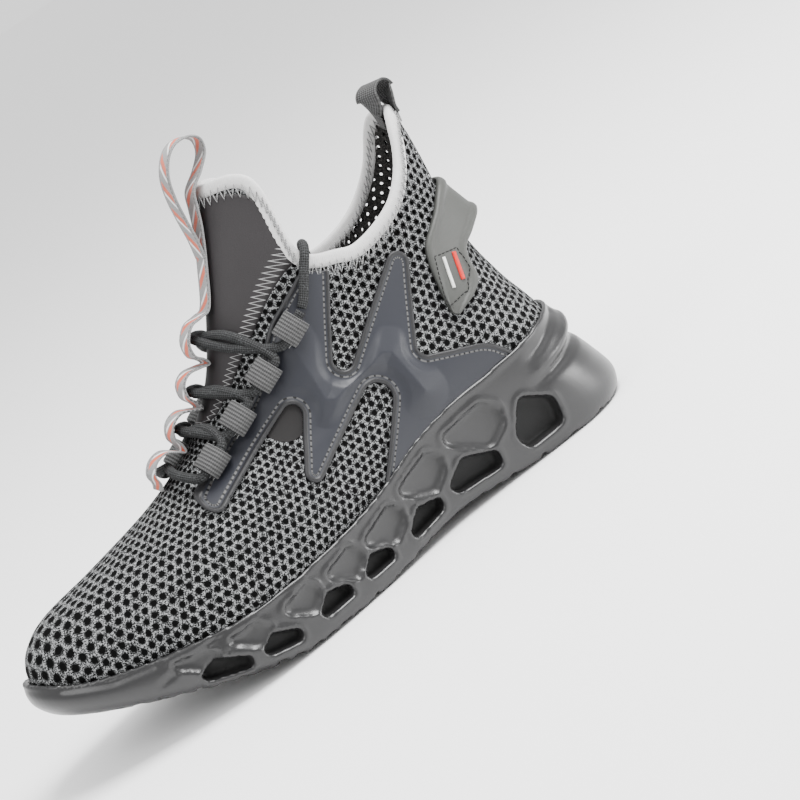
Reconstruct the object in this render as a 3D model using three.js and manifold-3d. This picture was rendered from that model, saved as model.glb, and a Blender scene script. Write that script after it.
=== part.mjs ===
// Knitted safety sneaker, left shoe, standing unbent on its sole.
// Millimetres, +Z up, toe towards -X, outer side towards -Y. The origin is on the ground under the heel.
import * as THREE from 'three';
import { mergeVertices } from 'three/addons/utils/BufferGeometryUtils.js';
import Module from 'manifold-3d';

const wasm = await Module();
wasm.setup();

// Driving dimensions of the upper
const upperLength = 287;        // back of the heel to the tip of the toe
const heelBack = 34;            // the back of the heel lies this far behind the origin
const heelWidth = 67;           // outside of the knit, across the heel
const waistWidth = 73;          // across the arch
const ballWidth = 101;          // across the ball of the foot
const toeWidth = 89;            // across the toe box before its end rounds off
const toeHeight = 71;           // top of the toe box
const instepHeight = 109;       // ridge of the instep, where the leg begins
const heelCollarHeight = 165;   // top edge at the back of the collar
const sideCollarHeight = 127;   // lowest point of the collar at the ankle
const tongueHeight = 184;       // top edge of the tongue
const toeSwing = 7;             // how far the tip of the toe leans to the inner side
const wall = 2.4;               // knit with its lining
const clearance = 0.3;          // between pieces that touch

// Driving dimensions of the sole
const soleHeel = 76;            // width of the sole under the heel
const soleWaist = 77;
const soleBall = 109;
const soleToe = 101;
const toeSpring = 32;           // underside of the tip of the toe above the ground
const archRise = 4.5;           // edge of the sole above the ground at the arch
const bedHeel = 29.5;           // top of the sole inside, at the heel
const bedBall = 17.5;           // and at the ball
const holeDepth = 8;            // lower row of openings in the side of the sole
const pocketDepth = 2.6;        // upper row of shallower pockets
const treadDepth = 2;           // grooves across the tread
const groovePitch = 17;
const grooveWidth = 2.6;
const recessDepth = 2.6;        // sunk middle of the tread
const insoleThickness = 4;

// Driving dimensions of the trim
const bindingWidth = 6.5;
const bindingThickness = 4;
const overlayThickness = 1.2;
const laceDiameter = 4.4;
const webbingWidth = 11.5;      // lace loops
const webbingThickness = 1.2;
const ribbonWidth = 15;
const ribbonThickness = 1;
const ribbonLoopHeight = 22;    // pull loop of the ribbon above the top of the tongue
const heelLoopWidth = 16;
const heelLoopHeight = 11.5;    // above the top of the collar
const strapThickness = 2.5;
const strapStandoff = 10;       // space under the strap at the back of the heel
const tongueLength = 78;        // smooth panel, from its round lower end up to the collar
const tongueHalf = 25;          // half width where the panel meets the collar

const bedDrop = bedHeel - bedBall;
const laceRadius = laceDiameter / 2;
const formColumns = 40;         // facets round the form
const soleColumns = 40;
const fromHeel = (share) => heelBack - share * upperLength;
const smooth = (u) => THREE.MathUtils.smoothstep(u, 0, 1);
const lerp = THREE.MathUtils.lerp;

// A smooth curve through knots (xs, ys), level beyond both ends
function curveAt(xs, ys, x) {
  if (x <= xs[0]) return ys[0];
  const last = xs.length - 1;
  if (x >= xs[last]) return ys[last];
  let i = 0;
  while (x > xs[i + 1]) i += 1;
  const slope = (j) => {
    const a = Math.max(j - 1, 0);
    const b = Math.min(j + 1, last);
    return (ys[b] - ys[a]) / (xs[b] - xs[a]);
  };
  const h = xs[i + 1] - xs[i];
  const u = (x - xs[i]) / h;
  const rest = 1 - u;
  return ys[i] * (1 + 2 * u) * rest * rest + slope(i) * h * u * rest * rest
    + ys[i + 1] * u * u * (3 - 2 * u) - slope(i + 1) * h * u * u * rest;
}

// Volume inside a closed mesh, negative where its faces point inwards
function signedVolume(position, index) {
  const corner = [new THREE.Vector3(), new THREE.Vector3(), new THREE.Vector3()];
  let sum = 0;
  for (let i = 0; i < index.length; i += 3) {
    corner.forEach((c, j) => c.fromBufferAttribute(position, index[i + j]));
    sum += corner[0].dot(corner[1].cross(corner[2]));
  }
  return sum / 6;
}

// Closed mesh through rings of equal count: a band that returns to its first ring, or a body with capped ends.
// A 'pairs' cap joins the left and right points of a mirrored ring, a 'fan' cap suits small convex sections.
// From the ring number turnBack on, the rings run back inside the shell, with facets parallel to those outside.
function loft(rings, cap = 'fan', turnBack = Infinity) {
  const count = rings[0].length;
  const points = rings.flat();
  const faces = [];
  const bands = cap === 'none' ? rings.length : rings.length - 1;
  for (let i = 0; i < bands; i += 1) {
    const a = i * count;
    const b = ((i + 1) % rings.length) * count;
    for (let k = 0; k < count; k += 1) {
      const n = (k + 1) % count;
      if (i < turnBack) faces.push(a + k, a + n, b + n, a + k, b + n, b + k);
      else faces.push(a + k, a + n, b + k, a + n, b + n, b + k);
    }
  }
  const close = (base, flip) => {
    const add = (p, q, r) => faces.push(...(flip ? [base + p, base + r, base + q] : [base + p, base + q, base + r]));
    if (cap === 'fan') {
      for (let k = 1; k < count - 1; k += 1) add(0, k + 1, k);
    }
    if (cap === 'pairs') {
      for (let k = 0; k < count / 2; k += 1) {
        const opposite = (count - k) % count;
        add(k + 1, k, opposite);
        add(k + 1, opposite, count - k - 1);
      }
    }
  };
  close(0, false);
  close((rings.length - 1) * count, true);
  const kept = [];
  for (let i = 0; i < faces.length; i += 3) {
    const [p, q, r] = faces.slice(i, i + 3);
    if (p !== q && q !== r && r !== p) kept.push(p, q, r);
  }
  const geometry = new THREE.BufferGeometry();
  geometry.setAttribute('position', new THREE.Float32BufferAttribute(points.flatMap((p) => p.toArray()), 3));
  if (signedVolume(geometry.attributes.position, kept) < 0) kept.reverse();
  geometry.setIndex(kept);
  return geometry;
}

// Solid for joining and cutting, its faces turned outwards
function solid(geometry) {
  const plain = geometry.clone();
  plain.deleteAttribute('normal');
  plain.deleteAttribute('uv');
  const merged = mergeVertices(plain, 1e-4);
  const index = Array.from(merged.index.array);
  if (signedVolume(merged.attributes.position, index) < 0) index.reverse();
  return new wasm.Manifold(new wasm.Mesh({
    numProp: 3,
    vertProperties: new Float32Array(merged.attributes.position.array),
    triVerts: new Uint32Array(index),
  }));
}

function geometryOf(body) {
  const mesh = body.getMesh();
  const geometry = new THREE.BufferGeometry();
  geometry.setAttribute('position', new THREE.Float32BufferAttribute(mesh.vertProperties, 3));
  geometry.setIndex(Array.from(mesh.triVerts));
  return geometry;
}

const joined = (solids) => solids.reduce((sum, one) => sum.add(one));

// Form of the foot: closed rings from the feather edge, where knit and sole meet, up to above the collar.
// A ring runs from a point at the back to a point at the front. Widths are shares of the heel, waist, ball and
// toe widths, dip is how far it sags at the ball, as a share of the drop of the bed from heel to ball, and the
// caps are the shares of its length that round off.
const formRings = [
  { front: 0.977, frontZ: 0.52 * toeHeight, back: 0.01, backZ: bedHeel, dip: 1.375,
    heel: 0.84, waist: 0.85, ball: 0.9, toe: 0.93, backCap: 0.12, frontCap: 0.29 },
  { front: 0.993, frontZ: 0.6 * toeHeight, back: 0.001, backZ: 0.22 * heelCollarHeight, dip: 1.21,
    heel: 0.94, waist: 0.95, ball: 0.99, toe: 1, backCap: 0.12, frontCap: 0.29 },
  { front: 0.998, frontZ: 0.69 * toeHeight, back: 0, backZ: 0.27 * heelCollarHeight, dip: 1.08,
    heel: 1, waist: 1.02, ball: 1.01, toe: 1, backCap: 0.12, frontCap: 0.29 },
  { front: 0.992, frontZ: 0.79 * toeHeight, back: 0.006, backZ: 0.32 * heelCollarHeight, dip: 0.875,
    heel: 1.01, waist: 1.04, ball: 0.98, toe: 0.96, backCap: 0.13, frontCap: 0.29 },
  { front: 0.972, frontZ: 0.885 * toeHeight, back: 0.015, backZ: 0.37 * heelCollarHeight, dip: 0.58,
    heel: 1, waist: 1.02, ball: 0.92, toe: 0.87, backCap: 0.14, frontCap: 0.3 },
  { front: 0.932, frontZ: 0.965 * toeHeight, back: 0.025, backZ: 0.42 * heelCollarHeight, dip: 0.29,
    heel: 0.96, waist: 0.96, ball: 0.8, toe: 0.74, backCap: 0.15, frontCap: 0.31 },
  { front: 0.85, frontZ: 1.014 * toeHeight, back: 0.033, backZ: 0.475 * heelCollarHeight, dip: 0.08,
    heel: 0.9, waist: 0.89, ball: 0.68, toe: 0.64, backCap: 0.16, frontCap: 0.34 },
  { front: 0.711, frontZ: 0.735 * instepHeight, back: 0.041, backZ: 0.54 * heelCollarHeight, dip: 0,
    heel: 0.84, waist: 0.83, ball: 0.59, toe: 0.55, backCap: 0.18, frontCap: 0.38 },
  { front: 0.606, frontZ: 0.84 * instepHeight, back: 0.045, backZ: 0.61 * heelCollarHeight, dip: 0,
    heel: 0.79, waist: 0.78, ball: 0.57, toe: 0.57, backCap: 0.21, frontCap: 0.4 },
  { front: 0.523, frontZ: instepHeight, back: 0.042, backZ: 0.7 * heelCollarHeight, dip: 0,
    heel: 0.75, waist: 0.74, ball: 0.55, toe: 0.58, backCap: 0.24, frontCap: 0.42 },
  { front: 0.456, frontZ: 0.735 * tongueHeight, back: 0.035, backZ: 0.805 * heelCollarHeight, dip: 0,
    heel: 0.73, waist: 0.74, ball: 0.54, toe: 0.58, backCap: 0.27, frontCap: 0.42 },
  { front: 0.397, frontZ: 0.888 * tongueHeight, back: 0.031, backZ: 0.92 * heelCollarHeight, dip: 0,
    heel: 0.7, waist: 0.72, ball: 0.53, toe: 0.57, backCap: 0.3, frontCap: 0.42 },
  { front: 0.345, frontZ: 1.04 * tongueHeight, back: 0.035, backZ: 1.05 * heelCollarHeight, dip: 0,
    heel: 0.68, waist: 0.71, ball: 0.52, toe: 0.56, backCap: 0.32, frontCap: 0.42 },
];

// Shares of a ring's length at which its widths are measured, and the shape of its sag
const stations = [0.14, 0.38, 0.68, 0.88];
const sagStations = [0, 0.15, 0.4, 0.65, 0.85, 1];
const sagShape = [0, 0.1, 0.62, 1, 0.68, 0];

// The inner side of a foot is narrower than the outer one at the arch
const innerShare = [1, 0.9, 0.98, 0.95];

// One value of the rings' table between two rings
function ringValue(name, level) {
  const last = formRings.length - 1;
  const i = Math.min(Math.max(Math.floor(level), 0), last - 1);
  const u = level - i;
  const value = (j) => formRings[Math.min(Math.max(j, 0), last)][name];
  const [p, q, r, s] = [value(i - 1), value(i), value(i + 1), value(i + 2)];
  return q + 0.5 * u * (r - p + u * (2 * p - 5 * q + 4 * r - s + u * (3 * (q - r) + s - p)));
}

const along = (turn) => (1 - Math.cos(turn)) / 2;
const turnOf = (share) => Math.acos(1 - 2 * share);

// Half width that ends in a quarter ellipse at the back and at the front
function rounded(width, share, backCap, frontCap) {
  const ease = (u) => (u >= 1 ? 1 : Math.sqrt(Math.max(0, 1 - (1 - u) ** 2)));
  return width * ease(share / backCap) * ease((1 - share) / frontCap);
}

const swing = (x) => toeSwing * smooth(((heelBack - x) / upperLength - 0.4) / 0.61);

// Surface of the form: turn goes from 0 at the back over the outer side to pi at the front, level is the ring
function formPoint(turn, level) {
  const share = along(turn);
  const outer = Math.sin(turn) >= 0;
  const x = fromHeel(lerp(ringValue('back', level), ringValue('front', level), share));
  const z = lerp(ringValue('backZ', level), ringValue('frontZ', level), share)
    - ringValue('dip', level) * bedDrop * curveAt(sagStations, sagShape, share);
  const widths = [heelWidth, waistWidth, ballWidth, toeWidth].map((width, i) => (
    (width / 2) * ringValue(['heel', 'waist', 'ball', 'toe'][i], level) * (outer ? 1 : innerShare[i])));
  const half = rounded(curveAt(stations, widths, share), share,
    ringValue('backCap', level), ringValue('frontCap', level));
  return new THREE.Vector3(x, swing(x) + (outer ? -half : half), z);
}

function formNormal(turn, level) {
  const small = 0.02;
  const low = Math.max(level - small, 0);
  const up = formPoint(turn, level + small).sub(formPoint(turn, low));
  const round = formPoint(turn + small, level).sub(formPoint(turn - small, level));
  return up.cross(round).normalize();
}

const onForm = (turn, level, out = 0) => formPoint(turn, level).addScaledVector(formNormal(turn, level), out);

// Ring level at which the form reaches a height
function levelAt(turn, height) {
  let low = 0;
  let high = formRings.length - 1;
  for (let i = 0; i < 30; i += 1) {
    const middle = (low + high) / 2;
    if (formPoint(turn, middle).z < height) low = middle;
    else high = middle;
  }
  return low;
}

const atHeight = (turn, height, out = 0) => onForm(turn, levelAt(turn, height), out);

// Turn at which the outer side of the form lies at x in the side view, at a height
function turnAt(x, height) {
  let low = 0;
  let high = Math.PI;
  for (let i = 0; i < 24; i += 1) {
    const middle = (low + high) / 2;
    if (formPoint(middle, levelAt(middle, height)).x > x) low = middle;
    else high = middle;
  }
  return low;
}

// Top edge from the back of the collar over the ankle to the tongue: rise is a share of the way from the
// ankle's height to the heel's behind it, and to the tongue's before it
const collarRows = [
  { share: 0, rise: 1 }, { share: 0.05, rise: 0.97 }, { share: 0.1, rise: 0.8 }, { share: 0.15, rise: 0.52 },
  { share: 0.2, rise: 0.32 }, { share: 0.26, rise: 0.16 }, { share: 0.34, rise: 0.05 }, { share: 0.44, rise: 0 },
  { share: 0.53, rise: 0.06 }, { share: 0.61, rise: 0.12 }, { share: 0.665, rise: 0.2 },
  { share: 0.705, rise: 0.34 }, { share: 0.74, rise: 0.55 }, { share: 0.775, rise: 0.75 },
  { share: 0.82, rise: 0.88 }, { share: 0.88, rise: 0.955 }, { share: 0.94, rise: 0.99 }, { share: 1, rise: 1 },
];

function collarHeight(share) {
  const rise = curveAt(collarRows.map((row) => row.share), collarRows.map((row) => row.rise), share);
  return sideCollarHeight + rise * ((share < 0.44 ? heelCollarHeight : tongueHeight) - sideCollarHeight);
}

const turns = Array.from({ length: formColumns }, (_, k) => (2 * Math.PI * k) / formColumns);

// Shell of the form between two offsets, from one level up to the collar's edge
function formShell(inside, outside, { low = 0, plain = 8, upperRows = 3 } = {}) {
  const tops = turns.map((turn) => levelAt(turn, collarHeight(along(turn))));
  const ring = (row, out) => turns.map((turn, k) => {
    const level = row <= plain ? row : lerp(plain, tops[k], (row - plain) / upperRows);
    return onForm(turn, level, out);
  });
  const rows = Array.from({ length: plain + upperRows + 1 - low }, (_, i) => i + low);
  const outer = rows.map((row) => ring(row, outside));
  const inner = rows.reverse().map((row) => ring(row, inside));
  return loft([...outer, ...inner], 'none', rows.length);
}

// The foot's own space, closed below, for the cup that the sole leaves
function lastSolid(out, top = 6) {
  const rings = Array.from({ length: top + 1 }, (_, level) => turns.map((turn) => onForm(turn, level, out)));
  rings[0].forEach((point, k) => { point.z = formPoint(turns[k], 0).z - clearance; });
  return solid(loft(rings, 'pairs'));
}

// Binding: a thick knitted band that follows the collar's edge
function bindingFrames(steps) {
  const fine = Array.from({ length: 720 }, (_, k) => {
    const turn = (2 * Math.PI * k) / 720;
    const level = levelAt(turn, collarHeight(along(turn)));
    return { point: onForm(turn, level, -wall / 2), normal: formNormal(turn, level) };
  });
  const lengths = [0];
  fine.forEach((frame, k) => lengths.push(lengths[k] + frame.point.distanceTo(fine[(k + 1) % 720].point)));
  const frames = [];
  for (let i = 0, k = 0; i < steps; i += 1) {
    const target = (lengths[720] * i) / steps;
    while (lengths[k + 1] < target) k += 1;
    frames.push(fine[k % 720]);
  }
  return frames.map(({ point, normal }, i) => {
    const before = frames[(i + steps - 1) % steps].point;
    const after = frames[(i + 1) % steps].point;
    const tangent = after.clone().sub(before).normalize();
    return { point, normal, inward: normal.clone().cross(tangent).normalize() };
  });
}

// Section points of the band: depth below the edge and place through the wall
function bandSection({ point, normal, inward }, corners) {
  return corners.map(([depth, through]) => point.clone().addScaledVector(inward, depth).addScaledVector(normal, through));
}

const half = bindingThickness / 2;
const bevel = 0.3 * bindingThickness;
const bindingCorners = [
  [0, -half + bevel], [0, half - bevel], [bevel, half], [bindingWidth, half], [bindingWidth, -half], [bevel, -half],
];
const bindingReach = bindingWidth + clearance;
const cutterCorners = [
  [-2 * bindingThickness, -bindingThickness], [-2 * bindingThickness, bindingThickness],
  [bindingReach, bindingThickness], [bindingReach, -bindingThickness],
];
const bandFrames = bindingFrames(54);
const bandCutter = solid(loft(bandFrames.map((frame) => bandSection(frame, cutterCorners)), 'none'));

// Smooth tongue panel: its outline in the plane of the instep's slope, up and half as shares of its length and
// of its half width at the collar
const tongueRows = [
  { up: -0.01, half: 0.03 }, { up: 0.0, half: 0.16 }, { up: 0.03, half: 0.32 }, { up: 0.08, half: 0.42 },
  { up: 0.36, half: 0.62 }, { up: 0.53, half: 0.76 }, { up: 0.76, half: 0.93 }, { up: 0.91, half: 1.05 },
  { up: 0.97, half: 1.7 }, { up: 1.5, half: 1.7 },
];
const throatFoot = new THREE.Vector3(fromHeel(0.568), 0, 0.9 * instepHeight);
const tongueTop = atHeight(Math.PI, tongueHeight);
const instepUp = tongueTop.clone().sub(throatFoot).setY(0).normalize();
const instepOut = new THREE.Vector3(-instepUp.z, 0, instepUp.x);
const throatReach = 0.35 * instepHeight;

function throatPrism(grow) {
  const place = (up, side, out) => throatFoot.clone().addScaledVector(instepUp, up)
    .addScaledVector(instepOut, out).add(new THREE.Vector3(0, side, 0));
  const corner = (row, sign) => [
    row.up * tongueLength - (row.up < 0 ? grow : 0), sign * (row.half * tongueHalf + grow),
  ];
  const outline = [...tongueRows.map((row) => corner(row, -1)), ...tongueRows.map((row) => corner(row, 1)).reverse()];
  const inner = outline.map(([up, side]) => place(up, side, -throatReach));
  const outer = outline.map(([up, side]) => place(up, side, throatReach));
  const faces = THREE.ShapeUtils.triangulateShape(outline.map(([up, side]) => new THREE.Vector2(up, side)), []);
  const count = outline.length;
  const index = faces.flatMap(([a, b, c]) => [a, b, c, count + c, count + b, count + a]);
  for (let k = 0; k < count; k += 1) {
    const n = (k + 1) % count;
    index.push(k, count + k, count + n, k, count + n, n);
  }
  const geometry = new THREE.BufferGeometry();
  geometry.setAttribute('position', new THREE.Float32BufferAttribute([...inner, ...outer].flatMap((p) => p.toArray()), 3));
  geometry.setIndex(index);
  return solid(geometry);
}

const knitShell = solid(formShell(-wall, 0)).subtract(bandCutter);
const upper = knitShell.subtract(throatPrism(clearance));
const tongue = knitShell.intersect(throatPrism(0));

// Outline with rounded corners in the side view, from rows of x, z and corner radius
function roundedOutline(rows, steps = 2) {
  const points = [];
  rows.forEach((row, i) => {
    const corner = new THREE.Vector2(row.x, row.z);
    const before = rows[(i + rows.length - 1) % rows.length];
    const after = rows[(i + 1) % rows.length];
    const a = new THREE.Vector2(before.x, before.z).sub(corner).normalize();
    const b = new THREE.Vector2(after.x, after.z).sub(corner).normalize();
    const halfAngle = Math.acos(THREE.MathUtils.clamp(a.dot(b), -1, 1)) / 2;
    if (!row.r) {
      points.push(corner);
      return;
    }
    const centre = corner.clone().addScaledVector(a.clone().add(b).normalize(), row.r / Math.sin(halfAngle));
    const start = corner.clone().addScaledVector(a, row.r / Math.tan(halfAngle)).sub(centre);
    const end = corner.clone().addScaledVector(b, row.r / Math.tan(halfAngle)).sub(centre);
    const sweep = Math.atan2(start.cross(end), start.dot(end));
    for (let k = 0; k <= steps; k += 1) {
      points.push(start.clone().rotateAround(new THREE.Vector2(), (sweep * k) / steps).add(centre));
    }
  });
  return points;
}

// Prism across the shoe from a side outline, between two distances from the middle plane
function sidePrism(points, from, to) {
  const geometry = new THREE.ExtrudeGeometry(new THREE.Shape(points), { depth: to - from, bevelEnabled: false });
  geometry.rotateX(Math.PI / 2);
  geometry.translate(0, to, 0);
  return solid(geometry);
}

// Sole: rings from the tread's edge up to the lip. Rise goes from the tread to the lip, widths are shares of
// the sole's widths, and front and back are shares of the upper's length.
const soleRings = [
  { rise: 0, front: 0.972, back: -0.037, heel: 0.96, waist: 0.93, ball: 0.95, toe: 0.94 },
  { rise: 0.14, front: 0.997, back: -0.045, heel: 0.99, waist: 0.98, ball: 0.99, toe: 0.99 },
  { rise: 0.38, front: 1.012, back: -0.032, heel: 1, waist: 1, ball: 1, toe: 1 },
  { rise: 0.6, front: 1.015, back: -0.018, heel: 0.985, waist: 1, ball: 0.985, toe: 0.985 },
  { rise: 0.8, front: 1.012, back: -0.016, heel: 0.97, waist: 1.01, ball: 0.975, toe: 0.97 },
  { rise: 1, front: 1.006, back: -0.002, heel: 0.945, waist: 1.02, ball: 0.96, toe: 0.945 },
];
const soleStations = [0.14, 0.38, 0.68, 0.88];
const soleInner = [1, 0.86, 0.98, 0.97];

// Side profile of the sole: the tread's edge and the lip, from the back of the heel to the tip of the toe
const profileRows = [
  { share: -0.04, tread: 0.04 * toeSpring, lip: 0.315 * heelCollarHeight },
  { share: 0.02, tread: 0, lip: 0.31 * heelCollarHeight },
  { share: 0.09, tread: 0, lip: 0.295 * heelCollarHeight },
  { share: 0.17, tread: 0, lip: 0.285 * heelCollarHeight },
  { share: 0.24, tread: 0.45 * archRise, lip: 0.283 * heelCollarHeight },
  { share: 0.33, tread: archRise, lip: 0.262 * heelCollarHeight },
  { share: 0.41, tread: 0.55 * archRise, lip: 0.222 * heelCollarHeight },
  { share: 0.47, tread: 0, lip: 0.2 * heelCollarHeight },
  { share: 0.56, tread: 0, lip: 0.186 * heelCollarHeight },
  { share: 0.64, tread: 0, lip: 0.181 * heelCollarHeight },
  { share: 0.72, tread: 0.14 * toeSpring, lip: 0.186 * heelCollarHeight },
  { share: 0.8, tread: 0.35 * toeSpring, lip: 0.206 * heelCollarHeight },
  { share: 0.88, tread: 0.6 * toeSpring, lip: 0.23 * heelCollarHeight },
  { share: 0.95, tread: 0.82 * toeSpring, lip: 0.265 * heelCollarHeight },
  { share: 1.012, tread: toeSpring, lip: 0.32 * heelCollarHeight },
];
const profileShares = profileRows.map((row) => row.share);
const profileAt = (name, x) => (
  curveAt(profileShares, profileRows.map((row) => row[name]), (heelBack - x) / upperLength));
const treadHeight = (x) => Math.max(0, profileAt('tread', x));
const lipHeight = (x) => profileAt('lip', x);

function soleRing(row, columns, grow) {
  return Array.from({ length: columns }, (_, k) => {
    const turn = (2 * Math.PI * k) / columns;
    const share = along(turn);
    const outer = Math.sin(turn) >= 0;
    const x = fromHeel(lerp(row.back, row.front, share)) + grow * Math.cos(turn);
    const widths = [soleHeel, soleWaist, soleBall, soleToe].map((width, i) => (
      (width / 2) * row[['heel', 'waist', 'ball', 'toe'][i]] * (outer ? 1 : soleInner[i])));
    const side = rounded(curveAt(soleStations, widths, share) + grow, share, 0.13, 0.3);
    return new THREE.Vector3(x, swing(x) + (outer ? -side : side), lerp(treadHeight(x), lipHeight(x), row.rise));
  });
}

// The sole without its cup, grown on all sides for clearance, or drawn in for the floor of a pocket
function soleBlock(grow = 0) {
  const rings = soleRings.map((row) => soleRing(row, soleColumns, grow));
  const past = holeDepth + 1;
  if (grow !== 0) {
    rings[0].forEach((point) => { point.z -= past; });
    rings[rings.length - 1].forEach((point) => { point.z += grow > 0 ? grow : past; });
  }
  return solid(loft(rings, 'pairs'));
}

// Two shapes of opening in the side, in shares of their own width and height
const holeShape = [
  { along: -0.08, up: 0.5 }, { along: 0.48, up: 0.1 }, { along: 0.42, up: -0.44 }, { along: -0.38, up: -0.46 },
  { along: -0.5, up: -0.12 },
];
const pocketShape = [
  { along: 0.29, up: 0.5 }, { along: 0.5, up: 0.2 }, { along: 0.42, up: -0.2 }, { along: 0.12, up: -0.5 },
  { along: -0.3, up: -0.08 }, { along: -0.5, up: 0.24 },
];

// The openings: middle as a share of the upper's length, width in the same share, low and high as shares of
// the way from the tread to the lip
const holes = [
  { at: 0.15, wide: 0.088, low: 0.14, high: 0.63 },
  { at: 0.279, wide: 0.101, low: 0.15, high: 0.47 },
  { at: 0.386, wide: 0.075, low: 0.16, high: 0.43 },
  { at: 0.492, wide: 0.061, low: 0.24, high: 0.51 },
  { at: 0.583, wide: 0.067, low: 0.25, high: 0.53 },
  { at: 0.687, wide: 0.067, low: 0.22, high: 0.53 },
  { at: 0.775, wide: 0.078, low: 0.17, high: 0.55 },
];
const pockets = [
  { at: 0.25, wide: 0.12, low: 0.38, high: 0.86 },
  { at: 0.362, wide: 0.1, low: 0.38, high: 0.86 },
  { at: 0.458, wide: 0.09, low: 0.36, high: 0.83 },
  { at: 0.543, wide: 0.077, low: 0.38, high: 0.84 },
  { at: 0.63, wide: 0.072, low: 0.42, high: 0.86 },
  { at: 0.725, wide: 0.072, low: 0.42, high: 0.87 },
  { at: 0.81, wide: 0.08, low: 0.4, high: 0.84 },
];

function sideOpening(shape, row) {
  const x = fromHeel(row.at);
  const low = lerp(treadHeight(x), lipHeight(x), row.low);
  const high = lerp(treadHeight(x), lipHeight(x), row.high);
  const width = row.wide * upperLength;
  const lean = (treadHeight(x - width / 3) - treadHeight(x + width / 3)) / (2 * width / 3);
  const corners = shape.map((corner) => new THREE.Vector2(
    x + corner.along * width,
    (low + high) / 2 + corner.up * (high - low) - corner.along * width * lean,
  ));
  return sidePrism(corners, -soleBall, soleBall);
}

// Tread: a sunk middle under ball and heel with raised islands in it, and grooves that part the rim into lugs.
// At is a share of the upper's length from the heel, side and size are shares of the sole's width at the ball.
const recessRows = [
  { at: 0.47, side: 0.17 }, { at: 0.56, side: 0.3 }, { at: 0.66, side: 0.31 }, { at: 0.75, side: 0.2 },
  { at: 0.75, side: -0.2 }, { at: 0.66, side: -0.3 }, { at: 0.56, side: -0.29 }, { at: 0.47, side: -0.2 },
];
const heelRecessRows = [
  { at: 0.03, side: 0.13 }, { at: 0.1, side: 0.22 }, { at: 0.2, side: 0.2 }, { at: 0.24, side: 0.1 },
  { at: 0.24, side: -0.1 }, { at: 0.2, side: -0.2 }, { at: 0.1, side: -0.22 }, { at: 0.03, side: -0.13 },
];
const islands = [
  { at: 0.535, side: 0.12, size: 0.09, turn: 0.3 }, { at: 0.55, side: -0.12, size: 0.1, turn: 0.1 },
  { at: 0.655, side: 0.02, size: 0.12, turn: 0.5 }, { at: heelBack / upperLength, side: 0, size: 0.13, turn: 0.26 },
];

// Plate between two heights, from points given as x and y
function floorPlate(points, low, high) {
  const geometry = new THREE.ExtrudeGeometry(new THREE.Shape(points), { depth: high - low, bevelEnabled: false });
  geometry.translate(0, 0, low);
  return solid(geometry);
}

function islandPoints({ at, side, size, turn }) {
  const radius = size * soleBall;
  return Array.from({ length: 6 }, (_, k) => new THREE.Vector2(
    fromHeel(at) + radius * Math.cos(turn + (k * Math.PI) / 3),
    side * soleBall + radius * Math.sin(turn + (k * Math.PI) / 3) * 1.15,
  ));
}

function recess(rows) {
  const points = rows.map((row) => new THREE.Vector2(fromHeel(row.at), row.side * soleBall));
  const high = Math.max(...points.map((point) => treadHeight(point.x))) + recessDepth;
  return floorPlate(points, -recessDepth, high);
}

// Grooves stop where the arch lifts the sole off the ground
const grooveXs = [];
for (let x = fromHeel(0.05); x > fromHeel(0.86); x -= groovePitch) {
  if (Math.abs(x - fromHeel(0.33)) > 0.1 * upperLength) grooveXs.push(x);
}
const grooveCutter = (x) => solid(new THREE.BoxGeometry(grooveWidth, 2 * soleBall, 4 * treadDepth)
  .translate(x, 0, treadHeight(x) - treadDepth));

const islandPrisms = joined(islands.map((row) => floorPlate(islandPoints(row), -2 * recessDepth, bedBall)));
const treadCuts = joined([recess(recessRows), recess(heelRecessRows), ...grooveXs.map(grooveCutter)])
  .subtract(islandPrisms);
const sideCuts = joined([
  joined(holes.map((row) => sideOpening(holeShape, row))).subtract(soleBlock(-holeDepth)),
  joined(pockets.map((row) => sideOpening(pocketShape, row))).subtract(soleBlock(-pocketDepth)),
]);
const sole = soleBlock().subtract(lastSolid(clearance)).subtract(sideCuts).subtract(treadCuts);

// Insole: a foam sheet that lies in the cup, inside the knit
function insoleGeometry() {
  const ring = (rise) => turns.map((turn) => {
    const point = onForm(turn, 0, -(wall + clearance));
    point.z = formPoint(turn, 0).z + rise;
    return point;
  });
  return loft([ring(0), ring(insoleThickness)], 'pairs');
}

// Welded side overlay in the side view, from the sole behind round its five fingers to the sole in front: at is
// a share of the upper's length from the heel, rise and round are shares of the instep's height
const overlayRows = [
  { at: 0.091, rise: 0.33, round: 0 }, { at: 0.146, rise: 0.532, round: 0.2 },
  { at: 0.251, rise: 0.651, round: 0.037 }, { at: 0.125, rise: 1.174, round: 0.05 },
  { at: 0.408, rise: 0.67, round: 0.041 }, { at: 0.282, rise: 1.165, round: 0.046 },
  { at: 0.317, rise: 1.22, round: 0.028 }, { at: 0.408, rise: 1.101, round: 0.275 },
  { at: 0.491, rise: 0.908, round: 0.367 }, { at: 0.652, rise: 0.725, round: 0.037 },
  { at: 0.666, rise: 0.606, round: 0.046 }, { at: 0.418, rise: 0.853, round: 0.037 },
  { at: 0.551, rise: 0.436, round: 0.041 }, { at: 0.249, rise: 0.798, round: 0.06 },
  { at: 0.439, rise: 0.257, round: 0 },
];
const overlayOutline = roundedOutline(overlayRows.map((row) => ({
  x: fromHeel(row.at), z: row.rise * instepHeight, r: row.round * instepHeight,
})));
const overlayShell = solid(formShell(clearance, clearance + overlayThickness, { low: 1 }))
  .subtract(bandCutter)
  .subtract(soleBlock(clearance));
const overlay = (from, to) => overlayShell.intersect(sidePrism(overlayOutline, from, to));

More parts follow.
